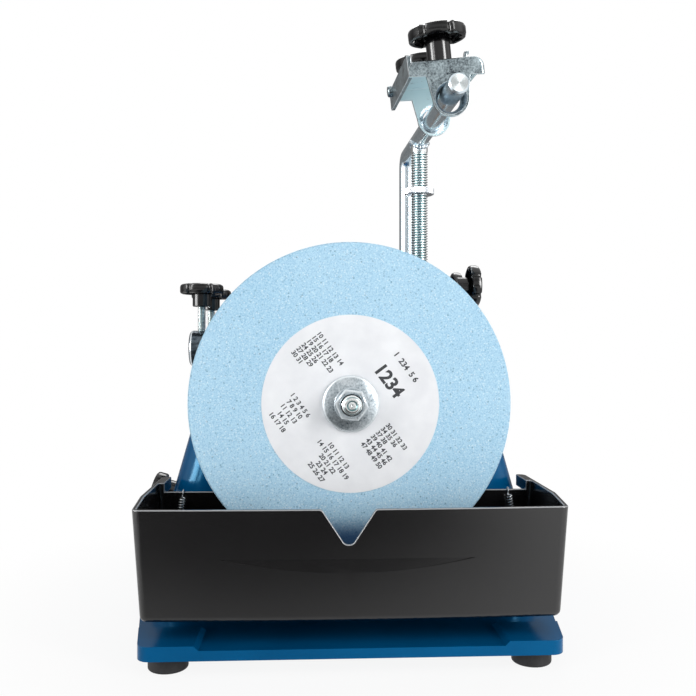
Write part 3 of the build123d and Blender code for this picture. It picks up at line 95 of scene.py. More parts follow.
# Star knobs: disc diameter, disc, hub diameter, hub, lobes
CLAMP_KNOB = (30.5, 7.0, 13.0, 9.0, 6)
JIG_KNOB = (35.0, 7.2, 14.7, 14.4, 6)
SWITCH_KNOB = (25.0, 8.5, 18.0, 8.0, 8)
HAND_NUT = (44.0, 13.0, 26.0, 7.0, 6)
JIG_KNOB_TURN = -9.4  # degrees
NOTCH = 0.12  # radius of a notch, in radii of the knob
NOTCH_SOFTNESS = 0.03  # softness of a notch's corners, in radii of the knob

# Threads: pitches, shape of the groove and rows of mesh for each turn
LEG_PITCH = 1.85
SPINDLE_PITCH = 1.75
SCREW_PITCH = 1.0
THREAD_DEPTH = 0.61  # in pitches
FLANK_SLOPE = 1.6
CREST_FLAT = 0.3
THREAD_STEPS = 8

# Clamp screws: their tips and tops are places along the axes of their joints
SCREW_RADIUS = 3.0
SCREW_CHAMFER = 0.75
SCREW_PLAIN = 0.5
SCREW_TIPS = {"side_clamp": -23.3, "top_clamp": -20.6, "jig": -10.0}
SCREW_TOP = 10.0

# Tool support: the spacing of its legs and the reach of its bar from the front leg
SUPPORT_TURN = 2.4  # degrees
LEG_SPACING = 56.0
LEG_CHAMFER = 1.2
LEG_PLAIN = 1.4  # upper end of the threaded leg without thread, in radii
BAR_REACH = 127.8
BEND_RADIUS = 9.0
BEND_STEPS = 10
ROD_CHAMFER = 1.0
FACING = 0.05  # thickness of the faced end's own disc
FACE_RINGS = 12
BEAD_STEPS = 120
BEAD_SIDES = 14

# Height nut: bore radius, rounding, and the flutes of its knurl with half their depth and their mesh steps
NUT_BORE = 6.05
NUT_ROUNDING = 0.5
FLUTES = 60
FLUTE_SWING = 0.16
FLUTE_STEPS = 8

# Jig: place of its front screw from the middle of its front hole, its rear cheek and its hole's offset
JIG_FRONT_SCREW = Vector((-2.5, 14.0, 23.0))
JIG_REAR_CHEEK = 60.0
JIG_HOLE_X = -0.5
JIG_SLACK = 2.0  # how far before the rear cheek a face still counts as its inner side

# Rows of spun bodies: height, radius, and where marked, painted shade in a gap and painted highlight on an edge
FRONT_COLLAR = ((1.0, 9.5), (2.6, 10.6), (4.6, 9.0), (6.6, 8.1), (9.6, 7.5, 0, 1), (9.6, 7.0, 0, 1),
                (7.0, 7.0), (5.0, 7.3), (3.0, 8.1), (1.6, 9.0))
REAR_COLLAR = ((0.7, 9.7), (2.3, 10.6), (2.7, 7.6, 0, 1), (2.5, 7.0, 0, 1), (1.7, 7.2), (1.0, 8.6))
WASHER = ((0, 6.1), (0, 17.3), (0.2, 17.5), (1.5, 17.5), (2.0, 17.35, 0, 1), (2.4, 16.9, 0, 1),
          (2.75, 15.9, 0, 0.1), (3.35, 13.2), (3.8, 10.7), (4.0, 8.5), (4.0, 6.1))
NUT_COLLAR = ((0, 6.1), (0, 10.0), (0.3, 10.3), (1.2, 10.3, 0, 0.5), (1.5, 10.0, 0, 0.5))
# The nut's mouth gets painted shade where the spindle goes in.
NUT_MOUTH = ((10.0, 7.9, 0, 0.2), (10.0, 7.0, 0, 0), (9.8, 6.5, 1, 0), (9.2, 6.1, 1, 0))

# Hexagon of the stone's nut: rows of height, inset and painted highlight on an edge
NUT_HEXAGON = ((1.5, 0, 0), (8.8, 0, 0), (9.3, 0, 1), (9.85, 0.55, 1))
HEXAGON_ACROSS = 18.0
HEXAGON_TURN = -7.0  # degrees

# Spindle: radius of its ends, the thread from its front tip, and rows of its centre drilling from that tip
STUB_RADIUS = 6.0
STUB_THREAD = (1.2, 24.0)
STUB_CHAMFER = 1.0
SHOULDER_CHAMFER = 0.4
# Dark marks paint shade on the rim of the drilling and on the chamfer of the tip.
DRILLING = ((3.2, 0), (2.6, 0.7, 0.1, 0), (1.0, 2.1, 0.1, 0), (0.5, 2.5, 1, 0), (0, 3.1, 1, 0), (0, 3.5),
            (0, STUB_RADIUS - 1.5), (0.3, STUB_RADIUS - STUB_CHAMFER, 1, 0))

# Leather strip: thickness, soft edge and the depth of its joint
LEATHER_THICKNESS = 3.0
LEATHER_SOFTNESS = 0.8
SEAM_PLACE = 1.2  # radians
SEAM_HALF = 0.012  # radians
SEAM_DEPTH = 0.35

# Stone: levels between which it turns from dry and lit to wet and in painted shade
DRY_LIT_LEVEL = 89.0
WET_SHADE_LEVEL = 73.0

# Tray: front face, lowest and highest level and half width of its grip recess, and its rise as it looks
GRIP_FRONT = -129.0
GRIP_HEIGHTS = (59.0, 68.2)
GRIP_HALF = 78.0
GRIP_RISE = 0.8
GRIP_BAND = 0.5  # height of the band that rises, below the highest level
TRAY_REAR = (-70.0, 90.0)  # where the rear of the tray starts and how high its sharp edges go

# Label print: plain counting numbers only
PRINT_TURN = -53.5  # degrees
LETTER_SIZE = 1.4  # size of the font, in letter heights
LETTER_WEIGHT = 0.045  # growth of the outlines, in letter heights
INK_THICKNESS = 0.01
INK_GAP = 0.02
# Blocks: x and z from the spindle of the lines' middle or left ends, letter height, line step, side, lines
PRINT_BLOCKS = (
    (-28.0, 38.2, 2.9, 3.9, "LEFT",
     ("10 11 12 13 14", "15 16 17 18", "19 20 21 22 23", "24 25 26", "27 28 29", "30 31")),
    (-38.2, -6.0, 2.9, 4.4, "CENTER", ("1 2 3 4 5 6", "7 8 9 10", "11 12 13", "14 15", "16 17 18")),
    (-14.5, -37.0, 2.9, 4.25, "CENTER",
     ("10 11 12 13", "14 15 16 17 18 19", "20 21 22", "23 24", "25 26 27")),
    (14.7, -18.4, 2.9, 3.85, "LEFT",
     ("30 31 32 33", "34 35 36", "37 38", "39 40 41 42", "43 44 45 46", "47 48 49 50")),
    (34.2, 22.6, 3.6, 4.0, "CENTER", ("1  234  5 6",)),
    (23.5, 14.1, 8.2, 8.0, "CENTER", ("1234",)),
)


# Colours and node trees

def linear(red, green, blue):
    """Colour of a screen value from 0 to 255, as a shader takes it."""
    def channel(value):
        value /= 255
        return value / 12.92 if value <= 0.04045 else ((value + 0.055) / 1.055) ** 2.4
    return (channel(red), channel(green), channel(blue), 1.0)


def add(tree, kind, settings=None, **inputs):
    """New node; an input is a value, or a socket to link. The input i0 is the one with the number 0."""
    node = tree.nodes.new(kind)
    for name, value in (settings or {}).items():
        setattr(node, name, value)
    for name, value in inputs.items():
        numbered = name[0] == "i" and name[1:].isdigit()
        socket = node.inputs[int(name[1:]) if numbered else name.replace("_", " ")]
        if isinstance(value, bpy.types.NodeSocket):
            tree.links.new(value, socket)
        else:
            socket.default_value = value
    return node


def shader(name, **values):
    """New material with a Principled shader whose constant values are set on its own sockets."""
    material = bpy.data.materials.new(name)
    material.use_nodes = True
    tree = material.node_tree
    surface = tree.nodes["Principled BSDF"]
    for key, value in values.items():
        surface.inputs[key.replace("_", " ")].default_value = value
    return material, tree, surface


def place(tree, scale=(1, 1, 1)):
    """Coordinates of the object, stretched where a grain runs one way."""
    coordinates = add(tree, "ShaderNodeTexCoord").outputs["Object"]
    return add(tree, "ShaderNodeMapping", Vector=coordinates, Scale=scale).outputs[0]


def noise(tree, vector, scale, detail=3.0, roughness=0.55):
    """Soft noise, of a scale to the metre."""
    node = add(tree, "ShaderNodeTexNoise", Vector=vector, Scale=scale, Detail=detail, Roughness=roughness)
    return node.outputs[0]


def lines_along(tree, name, scale):
    """Noise of one number that the mesh carries, so that its lines follow the mesh."""
    number = attribute(tree, name)
    node = add(tree, "ShaderNodeTexNoise", {"noise_dimensions": "1D"}, W=number, Scale=scale, Detail=4.0)
    return node.outputs[0]


def cells(tree, vector, scale, output):
    """Random cells: the distance from the middle of each, or its own colour."""
    return add(tree, "ShaderNodeTexVoronoi", Vector=vector, Scale=scale).outputs[output]


def attribute(tree, name):
    """Number that the mesh carries at each point."""
    return add(tree, "ShaderNodeAttribute", {"attribute_name": name}).outputs["Fac"]


def split(tree, vector):
    """The three numbers of a vector, by X, Y and Z."""
    return add(tree, "ShaderNodeSeparateXYZ", Vector=vector).outputs


def length(tree, vector):
    return add(tree, "ShaderNodeVectorMath", {"operation": "LENGTH"}, i0=vector).outputs["Value"]


def times(tree, first, second):
    return add(tree, "ShaderNodeMath", {"operation": "MULTIPLY"}, i0=first, i1=second).outputs[0]


def either(tree, first, second):
    """The larger of two numbers."""
    return add(tree, "ShaderNodeMath", {"operation": "MAXIMUM"}, i0=first, i1=second).outputs[0]


def spread(tree, factor, low, high):
    """Factor from 0 to 1 spread over a range."""
    return add(tree, "ShaderNodeMapRange", Value=factor, To_Min=low, To_Max=high).outputs[0]


def between(tree, value, start, end, low=0.0, high=1.0):
    """Smooth step from low to high."""
    return add(tree, "ShaderNodeMapRange", {"interpolation_type": "SMOOTHSTEP"}, Value=value, From_Min=start,
               From_Max=end, To_Min=low, To_Max=high).outputs[0]


def ramp(tree, factor, *stops):
    """Colour ramp of stops (place, colour), where a colour is three screen values or one brightness."""
    node = add(tree, "ShaderNodeValToRGB", Fac=factor)
    elements = node.color_ramp.elements
    while len(elements) < len(stops):
        elements.new(0.5)
    for element, (where, colour) in zip(elements, stops):
        element.position = where
        element.color = linear(*colour) if isinstance(colour, tuple) else (colour, colour, colour, 1)
    return node.outputs[0]


def mixed(tree, factor, first, second, blend="MIX"):
    settings = {"data_type": "RGBA", "blend_type": blend}
    return add(tree, "ShaderNodeMix", settings, i0=factor, i6=first, i7=second).outputs[2]


def link(tree, output, surface, name):
    tree.links.new(output, surface.inputs[name])


def coloured(tree, surface, factor, *stops):
    """Base colour along a ramp."""
    link(tree, ramp(tree, factor, *stops), surface, "Base Color")


def roughened(tree, surface, factor, low, high):
    """Roughness over a range."""
    link(tree, spread(tree, factor, low, high), surface, "Roughness")


def bumped(tree, surface, height, strength, distance):
    """Relief, of a depth in metres."""
    node = add(tree, "ShaderNodeBump", Strength=strength, Distance=distance, Height=height)
    link(tree, node.outputs[0], surface, "Normal")


# Materials

def blue_enamel():
    """Glossy sprayed enamel with a faint orange peel."""
    tint = (0.2, 0.66, 1.0, 1)
    material, tree, surface = shader("blue_enamel", Specular_IOR_Level=0.45, Specular_Tint=tint)
    at = place(tree)
    coloured(tree, surface, noise(tree, at, 18, detail=2), (0.3, (0, 79, 127)), (0.75, (1, 91, 143)))
    roughened(tree, surface, noise(tree, at, 60), 0.12, 0.2)
    bumped(tree, surface, noise(tree, at, 420, detail=1), strength=0.06, distance=0.0004)
    return material


def tray_plastic():
    """Satin black moulding with a fine spark-eroded grain and a painted highlight on its rounded edges."""
    material, tree, surface = shader("tray_plastic", Specular_IOR_Level=0.88)
    at = place(tree)
    body = ramp(tree, noise(tree, at, 9), (0.3, (9, 8, 9)), (0.75, (14, 13, 14)))
    # Rounded edges get a light grey painted highlight.
    link(tree, mixed(tree, attribute(tree, "edge"), body, linear(158, 159, 161)), surface, "Base Color")
    roughened(tree, surface, noise(tree, at, 30, detail=4), 0.17, 0.24)
    bumped(tree, surface, noise(tree, at, 1900, detail=2), strength=0.08, distance=0.0002)
    return material


def knob_plastic():
    """Glossy black thermoset with rubbed high spots."""
    material, tree, surface = shader("knob_plastic", Specular_IOR_Level=0.55)
    at = place(tree)
    rub = noise(tree, at, 160, detail=4)
    coloured(tree, surface, rub, (0.4, (8, 8, 9)), (0.8, (20, 20, 22)))
    roughened(tree, surface, rub, 0.08, 0.2)
    bumped(tree, surface, noise(tree, at, 700, detail=2), strength=0.05, distance=0.0002)
    return material


def plain_plastic(name, dark, light, grain):
    """Moulded plastic with a fine matt grain."""
    material, tree, surface = shader(name)
    at = place(tree)
    coloured(tree, surface, noise(tree, at, 25), (0.3, dark), (0.75, light))
    roughened(tree, surface, noise(tree, at, 60), 0.38, 0.55)
    bumped(tree, surface, noise(tree, at, grain, detail=2), strength=0.15, distance=0.0002)
    return material


def rubber(name, dark, light):
    """Matt rubber with dusty patches."""
    material, tree, surface = shader(name, Specular_IOR_Level=0.35)
    at = place(tree)
    coloured(tree, surface, noise(tree, at, 110, detail=4), (0.35, dark), (0.75, light))
    roughened(tree, surface, noise(tree, at, 70), 0.5, 0.7)
    bumped(tree, surface, noise(tree, at, 900), strength=0.25, distance=0.0003)
    return material


def stone():
    """Pale blue sintered grain with dark grains and light crystals; where it dips, wet and painted shade."""
    material, tree, surface = shader("stone", Specular_IOR_Level=0.25, Roughness=0.88)
    at = place(tree)
    grain = noise(tree, at, 1100, detail=4, roughness=0.75)
    body = ramp(tree, grain, (0.36, (136, 184, 214)), (0.5, (176, 216, 239)), (0.64, (206, 233, 247)))
    cloud = ramp(tree, noise(tree, at, 14), (0.35, (164, 208, 234)), (0.7, (190, 225, 244)))
    body = mixed(tree, 0.3, body, cloud)
    near = ramp(tree, cells(tree, at, 600, "Distance"), (0.24, 0.85), (0.5, 0))
    picked = ramp(tree, cells(tree, at, 600, "Color"), (0.1, 0.8), (0.2, 0.45), (0.5, 0))
    body = mixed(tree, times(tree, near, picked), body, linear(90, 134, 164))
    crystals = ramp(tree, cells(tree, at, 520, "Distance"), (0.1, 0.7), (0.3, 0))
    body = mixed(tree, crystals, body, linear(232, 245, 253))
    # Below these levels the stone darkens, for wetness and for painted shade from the tray.
    level = split(tree, add(tree, "ShaderNodeNewGeometry").outputs["Position"])["Z"]
    wet_and_shade = between(tree, level, DRY_LIT_LEVEL * MM, WET_SHADE_LEVEL * MM, high=0.92)
    soaked_and_shaded = mixed(tree, 0.5, linear(34, 84, 132), body, "MULTIPLY")
    link(tree, mixed(tree, wet_and_shade, body, soaked_and_shaded), surface, "Base Color")
    bumped(tree, surface, noise(tree, at, 900), strength=0.4, distance=0.0004)
    return material


def paper():
    """Off-white label paper with faint fibres."""
    material, tree, surface = shader("label_paper", Specular_IOR_Level=0.3)
    at = place(tree)
    coloured(tree, surface, noise(tree, at, 60, detail=5), (0.3, (232, 233, 236)), (0.7, (243, 244, 246)))
    roughened(tree, surface, noise(tree, at, 200), 0.55, 0.7)
    fibres = noise(tree, place(tree, (1, 1, 6)), 500, detail=4)
    bumped(tree, surface, fibres, strength=0.08, distance=0.0002)
    return material


def ink():
    """Dark grey printing ink, a little uneven."""
    material, tree, surface = shader("ink", Roughness=0.6)
    coloured(tree, surface, noise(tree, place(tree), 900), (0.3, (38, 40, 44)), (0.7, (62, 64, 68)))
    return material


def steel(name, dark, light, gloss, stretch, scale):
    """Bright metal whose drawing or turning lines run one way; its gloss is a range of roughness."""
    material, tree, surface = shader(name, Metallic=1.0)
    lines = noise(tree, place(tree, stretch), scale)
    cloud = noise(tree, place(tree), 90, detail=4)
    tone = mixed(tree, 0.5, lines, cloud)
    coloured(tree, surface, tone, (0.32, dark), (0.68, light))
    roughened(tree, surface, tone, *gloss)
    bumped(tree, surface, lines, strength=0.08, distance=0.0002)
    return material


def thread_steel():
    """Cut thread: bright crests, and dull roots darkened with painted shade."""
    material, tree, surface = shader("thread_steel", Metallic=1.0)
    depth = attribute(tree, "groove_shade")
    cloud = noise(tree, place(tree), 260, detail=4)
    crest = ramp(tree, cloud, (0.35, (240, 246, 246)), (0.65, (253, 254, 254)))
    # Roots get painted shade, a dark teal.
    root_shade = between(tree, depth, 0.25, 1.0)
    link(tree, mixed(tree, root_shade, crest, linear(104, 134, 137)), surface, "Base Color")
    roughened(tree, surface, depth, 0.16, 0.34)
    bumped(tree, surface, cloud, strength=0.05, distance=0.0001)
    return material


def drawn_steel():
    """Cold drawn rod: faint lines along it and a few dull patches."""
    material, tree, surface = shader("drawn_steel", Metallic=1.0)
    lines = lines_along(tree, "round", 2.2)
    patch = noise(tree, place(tree), 120, detail=5, roughness=0.6)
    tone = mixed(tree, 0.5, lines, patch)
    coloured(tree, surface, tone, (0.2, (196, 212, 222)), (0.8, (236, 244, 248)))
    roughened(tree, surface, tone, 0.26, 0.18)
    bumped(tree, surface, lines, strength=0.03, distance=0.0001)
    return material


def turned_steel():
    """Faced end of a rod: rings of the lathe tool that fan the light."""
    material, tree, surface = shader("turned_steel", Metallic=1.0, Anisotropic=0.7)
    rings = lines_along(tree, "ring", 5.0)
    coloured(tree, surface, rings, (0.3, (176, 186, 188)), (0.7, (242, 247, 247)))
    roughened(tree, surface, rings, 0.24, 0.36)
    tangent = add(tree, "ShaderNodeTangent", {"direction_type": "RADIAL", "axis": "Y"}).outputs[0]
    link(tree, tangent, surface, "Tangent")
    bumped(tree, surface, rings, strength=0.1, distance=0.0001)
    return material


def zinc(name, dark, light, grain):
    """Zinc plate: fine mottled crystals over soft clouds, painted highlights on its edges and painted light
    inside.
    """
    material, tree, surface = shader(name)
    at = place(tree)
    fine = noise(tree, at, grain, detail=6, roughness=0.72)
    cloud = noise(tree, at, grain * 0.16)
    tone = mixed(tree, 0.35, fine, cloud)
    # Inner faces get painted bounce light: a paler colour and less metal.
    inner = attribute(tree, "inner")
    # The rounded edges get a painted highlight.
    worn = attribute(tree, "edge")
    colour = ramp(tree, tone, (0.37, dark), (0.6, light))
    colour = mixed(tree, inner, colour, linear(208, 231, 235))
    colour = mixed(tree, worn, colour, linear(234, 240, 243))
    # Marked gaps get painted shade.
    colour = mixed(tree, attribute(tree, "groove_shade"), colour, linear(26, 32, 37))
    link(tree, colour, surface, "Base Color")
    # Less metal where light is painted in, so that it shows from every side.
    painted_light = either(tree, inner, times(tree, worn, 0.7))
    link(tree, spread(tree, painted_light, 0.95, 0.25), surface, "Metallic")
    roughened(tree, surface, tone, 0.16, 0.44)
    bumped(tree, surface, fine, strength=0.1, distance=0.0002)
    return material


def sleeve_coat():
    """Dark blued steel with a faint grain and a painted highlight on its rounded edges."""
    material, tree, surface = shader("sleeve_coat", Metallic=0.9)
    fleck = noise(tree, place(tree), 500, detail=4, roughness=0.7)
    body = ramp(tree, fleck, (0.35, (52, 62, 70)), (0.7, (118, 129, 138)))
    # Rounded edges get a pale painted highlight.
    link(tree, mixed(tree, attribute(tree, "edge"), body, linear(220, 226, 230)), surface, "Base Color")
    roughened(tree, surface, fleck, 0.16, 0.32)
    bumped(tree, surface, fleck, strength=0.12, distance=0.0003)
    return material


def leather():
    """Vegetable-tanned leather with pores and darker, oiled patches."""
    material, tree, surface = shader("leather", Sheen_Weight=0.1)
    at = place(tree)
    pores = cells(tree, at, 900, "Distance")
    tone = mixed(tree, 0.35, noise(tree, at, 22, detail=4), pores)
    coloured(tree, surface, tone, (0.25, (112, 74, 42)), (0.7, (176, 128, 82)))
    roughened(tree, surface, noise(tree, at, 40), 0.5, 0.72)
    bumped(tree, surface, pores, strength=0.3, distance=0.0004)
    return material


def materials():
    """One material for each slot of the record, and finer ones for print, threads, rods and washers."""
    across = (40, 1, 40)
    upright = (40, 40, 1)
    return {
        "blue_enamel": blue_enamel(),
        "foot_rubber": rubber("foot_rubber", (30, 30, 31), (52, 52, 53)),
        "tray_plastic": tray_plastic(),
        "knob_plastic": knob_plastic(),
        "switch_plastic": plain_plastic("switch_plastic", (30, 30, 31), (44, 44, 46), 800),
        "wheel_plastic": plain_plastic("wheel_plastic", (34, 35, 38), (50, 51, 54), 1200),
        "tyre_rubber": rubber("tyre_rubber", (26, 26, 27), (44, 44, 45)),
        "leather": leather(),
        "stone": stone(),
        "label_paper": paper(),
        "bright_steel": steel("bright_steel", (176, 180, 184), (232, 234, 236), (0.14, 0.3), across, 30),
        "plain_steel": steel("plain_steel", (150, 155, 160), (214, 217, 220), (0.18, 0.36), upright, 30),
        "zinc_plate": zinc("zinc_plate", (38, 46, 54), (178, 193, 198), 900),
        "flange_zinc": zinc("flange_zinc", (128, 144, 153), (218, 226, 231), 800),
        "sleeve_coat": sleeve_coat(),
        "bush_bronze": steel("bush_bronze", (140, 104, 58), (190, 148, 92), (0.25, 0.42), across, 40),
        "motor_iron": zinc("motor_iron", (60, 61, 64), (96, 97, 100), 500),
        "motor_alloy": zinc("motor_alloy", (150, 152, 156), (196, 198, 202), 400),
        "ink": ink(),
        "thread_steel": thread_steel(),
        "drawn_steel": drawn_steel(),
        "turned_steel": turned_steel(),
    }


LOOKS = materials()


# Mesh tools

def piece(name, mesh, body, slot, replaced=(), look=None):
    """Object that rides on a body, wears a slot's material and stands for the nodes that it replaces."""
    item = bpy.data.objects.new(name, mesh)
    bpy.context.scene.collection.objects.link(item)
    mesh.materials.clear()
    mesh.materials.append(LOOKS[look or slot])
    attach(item, body)
    if replaced:
        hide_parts(*replaced)
    return item


def to_mesh(form, name):
    """Mesh of a form, which is freed."""
    mesh = bpy.data.meshes.new(name)
    form.to_mesh(mesh)
    form.free()
    return mesh


def smooth(mesh, angle=32):
    """Smooth shading that keeps edges sharper than an angle."""
    mesh.shade_smooth()
    mesh.set_sharp_from_angle(angle=radians(angle))
    return mesh


def weighted(mesh):
    """Smooth shading whose normals lean to the larger faces, so that flat faces stay flat."""
    mesh.shade_smooth()
    limit = cos(radians(WEIGHT_ANGLE))
    around = [[] for point in mesh.vertices]
    for face in mesh.polygons:
        for point in face.vertices:
            around[point].append(face)
    normals = [None] * len(mesh.loops)
    for face in mesh.polygons:
        for loop in face.loop_indices:
            faces = around[mesh.loops[loop].vertex_index]
            near = [other for other in faces if other.normal.dot(face.normal) > limit]
            normals[loop] = sum((other.normal * other.area for other in near), Vector()).normalized()
    mesh.normals_split_custom_set(normals)
    return mesh


def bridge(form, lower, upper):
    """Faces between two rings of points, one of which may be a single pole."""
    count = max(len(lower), len(upper))
    for index in range(count):
        after = (index + 1) % count
        if len(lower) == 1:
            form.faces.new((lower[0], upper[after], upper[index]))
        elif len(upper) == 1:
            form.faces.new((lower[index], lower[after], upper[0]))
        else:
            form.faces.new((lower[index], lower[after], upper[after], upper[index]))


def scaled(rows):
    """Rows of a spun body, from millimetres to metres."""
    return [(height * MM, radius * MM, *marks) for height, radius, *marks in rows]


def spun(name, rows, sides, matrix, crest=0.0, depth=0.0):
    """Closed body of rows (height, radius, dark, bright) about local Z.

    A radius may depend on the angle, and 0 is a pole. Points carry their distance from the axis in
    millimetres, and how much painted shade a gap and painted highlight an edge get. On a thread, of a
    crest's radius and a depth, the share of its depth is the part in painted shade.
    """
    form = bmesh.new()
    groove_shade = form.verts.layers.float.new("groove_shade")
    ringed = form.verts.layers.float.new("ring")
    edge = form.verts.layers.float.new("edge")
    rings = []
    for height, radius, *marks in rows:
        dark, bright = marks or (0, 0)
        if radius == 0:
            rings.append([form.verts.new((0, 0, height))])
            continue
        ring = []
        for index in range(sides):
            angle = TURN * index / sides
            reach = radius(angle) if callable(radius) else radius
            point = form.verts.new((reach * cos(angle), reach * sin(angle), height))
            point[ringed] = reach / MM
            point[edge] = bright
            point[groove_shade] = (crest - reach) / depth if depth and callable(radius) else dark
            ring.append(point)
        rings.append(ring)
    for lower, upper in zip(rings, rings[1:]):
        bridge(form, lower, upper)
    if len(rings[0]) > 1 and len(rings[-1]) > 1:
        bridge(form, rings[-1], rings[0])
    form.transform(matrix)
    return smooth(to_mesh(form, name))


def axis_matrix(origin, axis):
    """Local Z along an axis, local Y as near to the frame's Y as it can be."""
    z = Vector(axis).normalized()
    guide = Vector((0, 1, 0)) if abs(z.y) < 0.9 else Vector((0, 0, -1))
    x = guide.cross(z).normalized()
    y = z.cross(x)
    return Matrix.Translation(origin) @ Matrix((x, y, z)).transposed().to_4x4()


def joint_matrix(name):
    return axis_matrix(Vector(JOINTS[name]["pos_m"]), JOINTS[name]["axis"])


def spindle_matrix(y, way):
    """Local Z along the spindle from a place on it, to the rear for 1 and to the front for -1."""
    return axis_matrix(Vector((SPINDLE_X, y, SPINDLE_Z)), (0, way, 0))


def mark(faces, layer):
    for face in faces:
        for loop in face.loops:
            loop[layer] = 1.0


def bevelled(node, name, body, width, steps=2, inside=None, adjust=None, clamp=True):
    """Copy of a node with its flat faces joined and its edges rounded, in place of the node.

    The rounded edges carry the mark of a painted highlight, and the faces that a test calls inside carry
    the mark of painted bounce light. The joined form may be adjusted before that, by a function that
    returns the edges to be left sharp.
    """
    form = bmesh.new()
    form.from_mesh(NODES[node].data)
    highlight_mark = form.loops.layers.float.new("edge")
    bounce_light_mark = form.loops.layers.float.new("inner")
    bmesh.ops.remove_doubles(form, verts=form.verts, dist=MERGE_DISTANCE * MM)
    bmesh.ops.dissolve_limit(form, angle_limit=radians(FLAT_ANGLE), verts=form.verts, edges=form.edges)
    kept = set(adjust(form)) if adjust else ()
    sharp = [edge for edge in form.edges if edge.is_manifold
             and edge.calc_face_angle() > radians(SHARP_ANGLE) and edge not in kept]
    rounded = bmesh.ops.bevel(form, geom=sharp, offset=width * MM, segments=steps, profile=0.5,
                              affect="EDGES", clamp_overlap=clamp)
    mark(rounded["faces"], highlight_mark)
    if inside:
        mark([face for face in form.faces if inside(face)], bounce_light_mark)
    return piece(name, weighted(to_mesh(form, name)), body, SLOT_OF[node], [node])


# Threads

def thread_radius(radius, depth, pitch, height):
    """Radius of a right-hand thread at one height, as a function of the angle."""
    def reach(angle):
        turn = (height / pitch - angle / TURN) % 1
        slope = abs(2 * turn - 1)
        return radius - depth * min(max(FLANK_SLOPE * slope - CREST_FLAT, 0), 1)
    return reach


def thread_rows(start, end, radius, pitch):
    """Rows of a thread with short runs in at both ends, from millimetres."""
    count = round((end - start) / pitch * THREAD_STEPS)
    rows = []
    for index in range(count + 1):
        height = start + (end - start) * index / count
        fade = min(1, (height - start) / pitch, (end - height) / pitch)
        depth = THREAD_DEPTH * pitch * fade
        rows.append((height * MM, thread_radius(radius * MM, depth * MM, pitch * MM, height * MM)))
    return rows


def threaded(name, rows, sides, matrix, radius, pitch):
    """Body whose thread, of a radius and pitch in millimetres, has bright crests and dark roots."""
    return spun(name, rows, sides, matrix, radius * MM, THREAD_DEPTH * pitch * MM)


def screw(name, node, body, tip, matrix):
    """Clamp screw with a chamfered tip and a thread up to the hub."""
    start = tip + SCREW_CHAMFER
    rows = scaled([(tip, 0), (tip, SCREW_RADIUS - SCREW_CHAMFER), (start, SCREW_RADIUS)])
    rows += thread_rows(start, SCREW_TOP - SCREW_PLAIN, SCREW_RADIUS, SCREW_PITCH)
    rows += scaled([(SCREW_TOP, SCREW_RADIUS), (SCREW_TOP, 0)])
    mesh = threaded(name, rows, SIDES["screw"], matrix, SCREW_RADIUS, SCREW_PITCH)
    return piece(name, mesh, body, "plain_steel", [node], "thread_steel")


# Knobs

def star(radius, lobes, inset, turn):
    """Outline of a star knob: wide lobes and narrow rounded notches, of which the first is turned."""
    notch = radius * NOTCH
    softness = radius * NOTCH_SOFTNESS

    def reach(angle):
        step = TURN / lobes
        off = (angle - turn + step / 2) % step - step / 2
        across = radius * sin(off)
        gap = notch * notch - across * across
        valley = radius * cos(off) - sqrt(gap) if gap > 0 else radius * 2
        blend = max(softness - abs(radius - valley), 0) / softness
        return min(radius, valley) - blend * blend * softness / 4 - inset
    return reach


def star_knob(name, node, body, sizes, matrix, turn=0.0):
    """Moulded star knob, hollow below, with rounded rims, a hub and a dished top."""
    disc_dia, disc, hub_dia, hub, lobes = sizes
    outer, inner = disc_dia / 2, hub_dia / 2
    top = hub + disc
    roof = hub + disc * 0.55
    wall = disc_dia * 0.08
    rim = min(1.4, disc * 0.2)
    fillet, lip, dish = 0.8, 0.4, 0.9
    rows = scaled([(0, 0), (0, inner - 0.6), (0.5, inner), (roof - fillet, inner), (roof, inner + fillet)])
    hollow = [(roof, wall + fillet), (roof - fillet, wall), (hub + lip, wall), (hub, wall - lip), (hub, rim)]
    outside = [(hub + rim * 0.3, rim * 0.3), (hub + rim, 0), (top - rim * 1.6, 0),
               (top - rim * 0.7, rim * 0.3), (top - rim * 0.2, rim), (top, rim * 2.2)]
    for height, inset in hollow + outside:
        rows.append((height * MM, star(outer * MM, lobes, inset * MM, radians(turn))))
    rows += scaled([(top, inner + 1.0), (top - 0.5, inner), (top - dish, inner - 1.2), (top - dish, 0)])
    return piece(name, spun(name, rows, SIDES["knob"], matrix), body, "knob_plastic", [node])


def knobs_and_screws():
    """Four clamps, the two screws of the jig and the hand nut of the honing wheel."""
    for kind, tip in SCREW_TIPS.items():
        sizes, turn = (JIG_KNOB, JIG_KNOB_TURN) if kind == "jig" else (CLAMP_KNOB, 0)
        for end in ("front", "rear"):
            body = f"{end}_{kind}"
            matrix = joint_matrix(body + "_turn")
            star_knob(body + "_star", body + "_knob", body, sizes, matrix, turn)
            screw(body + "_thread", body + "_screw", body, tip, matrix)
    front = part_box("honing_hand_nut")[0].y
    star_knob("hand_nut_star", "honing_hand_nut", "spindle", HAND_NUT, spindle_matrix(front, 1))


# Tool support

def rod_radius():
    """Radius of the support's rods in millimetres."""
    low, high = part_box("threaded_leg")
    return (high.x - low.x) / 2 / MM


def leg_matrix():
    """Axis of the threaded leg."""
    low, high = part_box("threaded_leg")
    return Matrix.Translation(((low.x + high.x) / 2, (low.y + high.y) / 2, 0))


def support_matrix():
    """Frame of the tool support: front leg on local Z, bar along local -Y."""
    return leg_matrix() @ Matrix.Rotation(radians(SUPPORT_TURN), 4, "Z")


